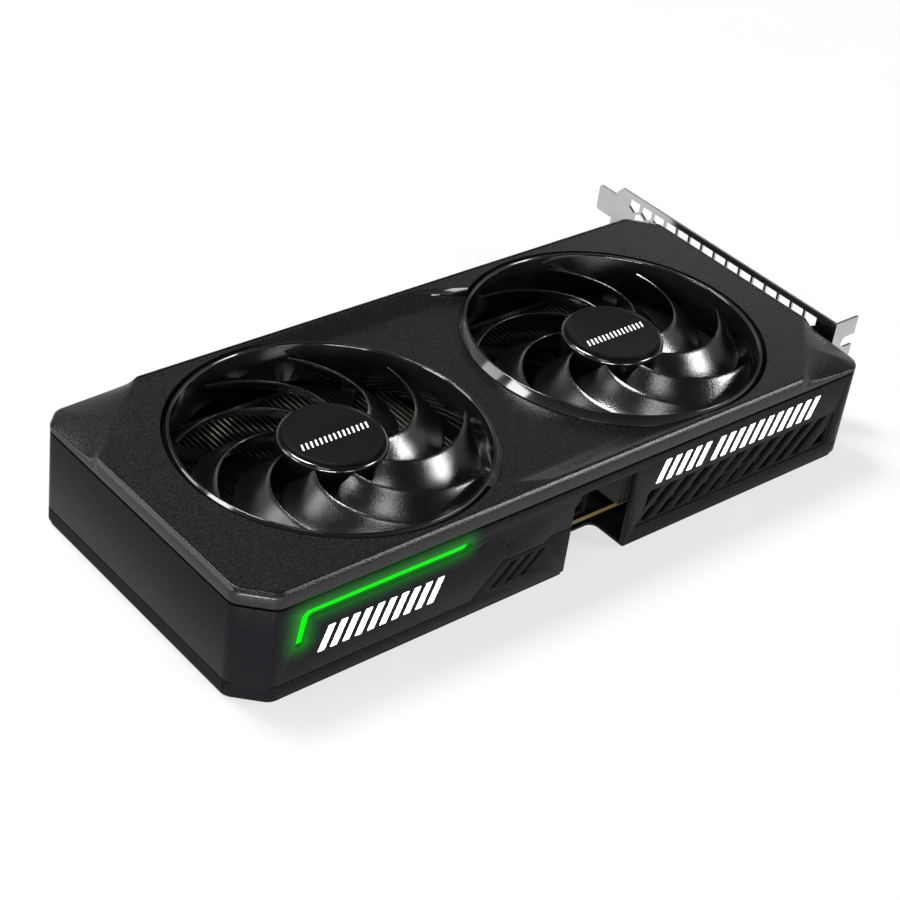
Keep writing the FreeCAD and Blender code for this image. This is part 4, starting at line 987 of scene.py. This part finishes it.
def mark_bars(start, low, high, width, gap, groups):
    """Outlines of slanted bars in groups, with a wider gap between groups."""
    outlines = []
    here = start
    for count in groups:
        for _ in range(count):
            outlines.append(slanted(here, low, high, width, MARK_LEAN))
            here += width + gap
        here += gap
    return outlines


def make_marks():
    """Plain painted bars where the card carries its markings; their paint also glows a little, as
    painted light.
    """
    side = [outline for facts in SIDE_MARKS for outline in mark_bars(*facts)]
    solids = [prism(rounded(outline, 0.25), MARK_FRONT, MARK_BACK, on_side) for outline in side]
    add_mesh("side_marks", merged(solids), "mark_paint_and_glow", "card")
    start, low, high, *bar = DISC_MARKS
    for fan, centre in FANS.items():
        bars = mark_bars(centre.x + start, centre.y + low, centre.y + high, *bar)
        solids = [prism(rounded(outline, 0.1), DISC_FACE - 0.1, DISC_FACE + 0.05)
                  for outline in bars]
        add_mesh(f"{fan}_mark", merged(solids), "mark_paint_and_glow", fan)


SPLIT = 5.9
SPLIT_END = 84.0
GROOVE = 0.4
GROOVE_DEPTH = 0.45
# The split line's course on the side, and the two faint lines by the light bar
SIDE_SPLIT = [(SPLIT_END - 0.2, SPLIT), (95.2, 16.9), (112.5, 16.9), (114.5, 18.6),
              (BAY_START + 1.0, 18.6)]
FAINT_LINES = [[(90.0, 28.6), (96.6, 22.0)], [(83.2, 26.2), (88.0, 27.4)]]
BAND_LOW = 1.6
BAND_HIGH = 5.3
BAND_START = 10.4
BAND_END = 104.6
BAND_DEPTH = 0.5
BAND_GAP = 0.05
RIB_PITCH = 1.0
RIB_LEAN = 0.35
# How deep a rib's face lies, and where its face, its flank and the groove end in its pitch
RIB_FACE = 0.08
RIB_ENDS = (0.55, 0.65, 0.9)


def groove(path, width):
    """Cutters that follow a path on the side, one per leg."""
    cutters = []
    for start, end in zip(path, path[1:]):
        along = (Vector(end) - Vector(start)).normalized()
        across = Vector((-along.y, along.x)) * width / 2
        first = Vector(start) - along * width / 2
        last = Vector(end) + along * width / 2
        leg = [first - across, last - across, last + across, first + across]
        cutters.append(prism([tuple(point) for point in leg], OUTSIDE, GROOVE_DEPTH, on_side))
    return cutters


def split_band():
    """The split line's cutter round the nose, the far side, the tail and half the near side."""
    loops = []
    for inset in (GROOVE_DEPTH, OUTSIDE):
        loop = [tuple(point) for point in outline_loop(inset, 6.0)]
        near = [point for point in loop[:24] if point[0] < LENGTH / 2]
        loops.append(loop[len(near):] + near + [(SPLIT_END, inset)])
    inner, outer = loops
    return prism(outer + inner[::-1], SPLIT - GROOVE / 2, SPLIT + GROOVE / 2)


def make_frame():
    """The side frame: four walls with vents, the power bay, grooves and recesses."""
    outer = [tuple(point) for point in outline_loop(FRAME_INSET, 6.0)]
    inner = [tuple(point) for point in outline_loop(WALL, 8.0)]
    base = prism(outer, FRAME_LOW, SEAM_LOW)
    cutters = [prism(inner, FRAME_LOW - 1, SEAM_LOW + 1)]
    through = (OUTSIDE, WALL + 0.7)
    bay = [(BAY_START, OUTSIDE), (BAY_END, OUTSIDE), (BAY_END, BAY_HEIGHT),
           (BAY_START + BAY_CUT, BAY_HEIGHT), (BAY_START, BAY_CUT_LOW)]
    cutters.append(prism(bay, *through, on_side))
    for index in range(SHORT_VENTS):
        vent = slanted(SHORT_START + SHORT_PITCH * index, SHORT_LOW, SHORT_HIGH, SHORT_WIDTH)
        cutters.append(prism(vent, *through, on_side))
    for index in range(-1, 10):
        slot = clipped(slanted(SLOT_START + SLOT_PITCH * index, SLOT_LOW, SLOT_HIGH, SLOT_WIDTH),
                       FIELD_START, FIELD_END)
        if len(slot) > 2:
            cutters.append(prism(slot, *through, on_side))
    last = [(FIELD_END + along, SLOT_LOW + up) for along, up in LAST_SLOT]
    cutters.append(prism(last, *through, on_side))
    cutters.append(prism(rounded(FIELD_OUTLINE, FIELD_ROUND), OUTSIDE, FIELD_DEPTH, on_side))
    cutters.append(prism(rounded(LIGHT_OPENING, OPENING_ROUND), *through, on_side))
    cutters.append(split_band())
    cutters.extend(groove(SIDE_SPLIT, GROOVE))
    for path in FAINT_LINES:
        cutters.extend(groove(path, GROOVE))
    band = rectangle(BAND_START, BAND_LOW, BAND_END, BAND_HIGH)
    cutters.append(prism(band, OUTSIDE, BAND_DEPTH, on_end))
    mesh = eased(carved("side_shell", base, cutters), EDGE_EASE)
    # The side wall's plastic is a copy with painted light: the bar's glow as emission near the lit
    # line
    MATERIALS["painted_glow_satin"] = painted_glow_wall("satin_plastic_painted_glow", MATERIALS["satin_plastic"], GLOW,
                                      GLOW_REACH, GLOW_STRENGTH)
    piece = finish_piece("side_shell", mesh, "painted_glow_satin", "card")
    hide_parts("side_frame")


def make_tail_band():
    """The ribbed strip low on the tail."""
    count = int((BAND_END - BAND_START) / RIB_PITCH) - 1
    bottom = BAND_DEPTH - BAND_GAP
    face_end, flank_end, groove_end = (share * RIB_PITCH for share in RIB_ENDS)
    face = []
    for index in range(count):
        y = BAND_START + BAND_GAP + index * RIB_PITCH
        face.extend([(RIB_FACE, y), (RIB_FACE, y + face_end), (bottom, y + flank_end),
                     (bottom, y + groove_end)])
    back = BAND_DEPTH + 0.1
    outline = face + [(back, face[-1][1]), (back, face[0][1])]
    solid = prism(outline, BAND_LOW + BAND_GAP, BAND_HIGH - BAND_GAP,
                  lambda u, v, w: (u, v + (w - BAND_LOW) * RIB_LEAN, w))
    add_mesh("tail_band", solid, "satin_plastic", "card", sharp=20.0)


# ---------------- CAD nodes that stay

def finish_nodes():
    """Give every CAD node that still shows the material of its slot, and two fin stacks a
    near-black painted shade.
    """
    for entry in frame["record"]["subparts"]:
        node = frame["nodes"][entry["node"]]
        node.data.materials.clear()
        node.data.materials.append(MATERIALS[entry["material_slot"]])
    # The fins behind the power bay and under the bracket end's fan get a near-black plastic in
    # place of their metal: painted shade, where little light falls
    for name in ("fin_stack_middle", "fin_stack_nose"):
        inner = frame["nodes"][name]
        inner.data.materials.clear()
        inner.data.materials.append(MATERIALS["painted_shade_fins"])


# ---------------- studio

FLOOR_SIDE = 6.0
FLOOR_GLOW = 0.64
# The floor lies a hair under the resting face, so that the two don't share a plane
FLOOR_LEVEL = -0.00005


def make_floor():
    """A pale floor that runs past the view on every side."""
    mesh = bpy.data.meshes.new("floor")
    corners = rectangle(-FLOOR_SIDE, -FLOOR_SIDE, FLOOR_SIDE, FLOOR_SIDE)
    mesh.from_pydata([(x, y, FLOOR_LEVEL) for x, y in corners], [], [(0, 1, 2, 3)])
    material, tree, principled = shader("floor_paper", (0.15, 0.15, 0.15), 0.9)
    set_sockets(principled, {"Emission Color": (1.0, 1.0, 1.0, 1.0),
                             "Emission Strength": FLOOR_GLOW})
    place = object_place(tree)
    tone = ramp(tree, noise(tree, place, 40.0), 0.0, 1.0)
    tree.links.new(blend_colours(tree, tone, (0.148, 0.148, 0.148), (0.152, 0.152, 0.152)),
                   principled.inputs["Base Color"])
    mesh.materials.append(material)
    floor = bpy.data.objects.new("floor", mesh)
    scene.collection.objects.link(floor)


# The elevations between which the white sweep fades into the ceiling, and the light of both
SWEEP_LOW = 0.0
SWEEP_HIGH = 38.0
SWEEP_LIGHT = 1.0
CEILING_LIGHT = 0.04


def make_world():
    """A white horizon under a dark ceiling, as in a studio with a white sweep."""
    world = bpy.data.worlds.new("studio")
    scene.world = world
    world.use_nodes = True
    tree = world.node_tree
    background = tree.nodes["Background"]
    place = tree.nodes.new("ShaderNodeTexCoord")
    split = tree.nodes.new("ShaderNodeSeparateXYZ")
    tree.links.new(place.outputs["Generated"], split.inputs["Vector"])
    height = tree.nodes.new("ShaderNodeMapRange")
    height.interpolation_type = "SMOOTHSTEP"
    set_sockets(height, {"From Min": math.sin(math.radians(SWEEP_LOW)),
                         "From Max": math.sin(math.radians(SWEEP_HIGH)),
                         "To Min": SWEEP_LIGHT, "To Max": CEILING_LIGHT})
    tree.links.new(split.outputs["Z"], height.inputs["Value"])
    tree.links.new(height.outputs["Result"], background.inputs["Strength"])
    background.inputs["Color"].default_value = (1.0, 1.0, 1.0, 1.0)


# Soft boxes: direction (azimuth, elevation), distance, width, height, power
SOFT_BOXES = {
    "key": (108.0, 64.0, 1.5, 0.45, 0.45, 36.0),
    "front": (-95.0, 12.0, 1.6, 0.4, 0.5, 4.5),
    "right": (-43.0, 34.0, 1.6, 0.5, 0.4, 16.0),
    "left": (136.0, 22.0, 1.5, 0.4, 0.9, 5.0),
    "above": (-148.0, 55.0, 1.5, 0.45, 0.35, 3.5),
    "low": (-135.0, 6.0, 1.4, 0.7, 0.2, 36.0),
    "streak": (161.0, 23.0, 1.5, 0.4, 0.35, 6.0),
    "back": (28.0, 20.0, 1.6, 0.8, 0.4, 0.7),
}


def make_soft_box(name, azimuth, elevation, distance, width, height, power):
    """A rectangular soft light that faces the card from a direction."""
    data = bpy.data.lights.new(name, "AREA")
    data.shape = "RECTANGLE"
    data.size = width
    data.size_y = height
    data.energy = power
    lamp = bpy.data.objects.new(name, data)
    flat = math.cos(math.radians(elevation))
    away = Vector((flat * math.cos(math.radians(azimuth)), flat * math.sin(math.radians(azimuth)),
                   math.sin(math.radians(elevation))))
    lamp.location = away * distance
    lamp.rotation_euler = (-away).to_track_quat("-Z", "Y").to_euler()
    scene.collection.objects.link(lamp)


def make_studio():
    """World and lamps."""
    make_world()
    for name, facts in SOFT_BOXES.items():
        make_soft_box(name, *facts)
    scene.view_settings.view_transform = "Standard"


CAMERA_TARGET = (-0.0207, -0.0188, 0.02)
CAMERA_DISTANCE = 0.6875
CAMERA_HEADING = -44.645
CAMERA_ELEVATION = 34.98
CAMERA_ROLL = 8.486
CAMERA_LENS = 85.64


def make_camera():
    """A long lens looking down on the light bar's corner."""
    data = bpy.data.cameras.new("camera")
    data.lens = CAMERA_LENS
    data.sensor_width = 36.0
    turn = (Matrix.Rotation(math.radians(CAMERA_HEADING), 4, "Z")
            @ Matrix.Rotation(math.radians(90.0 - CAMERA_ELEVATION), 4, "X")
            @ Matrix.Rotation(math.radians(CAMERA_ROLL), 4, "Z"))
    camera = bpy.data.objects.new("camera", data)
    camera.matrix_world = (Matrix.Translation(CAMERA_TARGET) @ turn
                           @ Matrix.Translation((0.0, 0.0, CAMERA_DISTANCE)))
    scene.collection.objects.link(camera)
    scene.camera = camera


make_camera()
make_studio()
make_floor()
finish_nodes()
make_cover()
make_riser("far_riser", 1, 0.1, 1.0)
make_riser("near_riser", -1, 0.1, 1.0)
for fan in FANS:
    make_ring(fan)
    make_rotor(fan)
    make_disc(fan)
make_frame()
make_tail_band()
make_light()
make_marks()
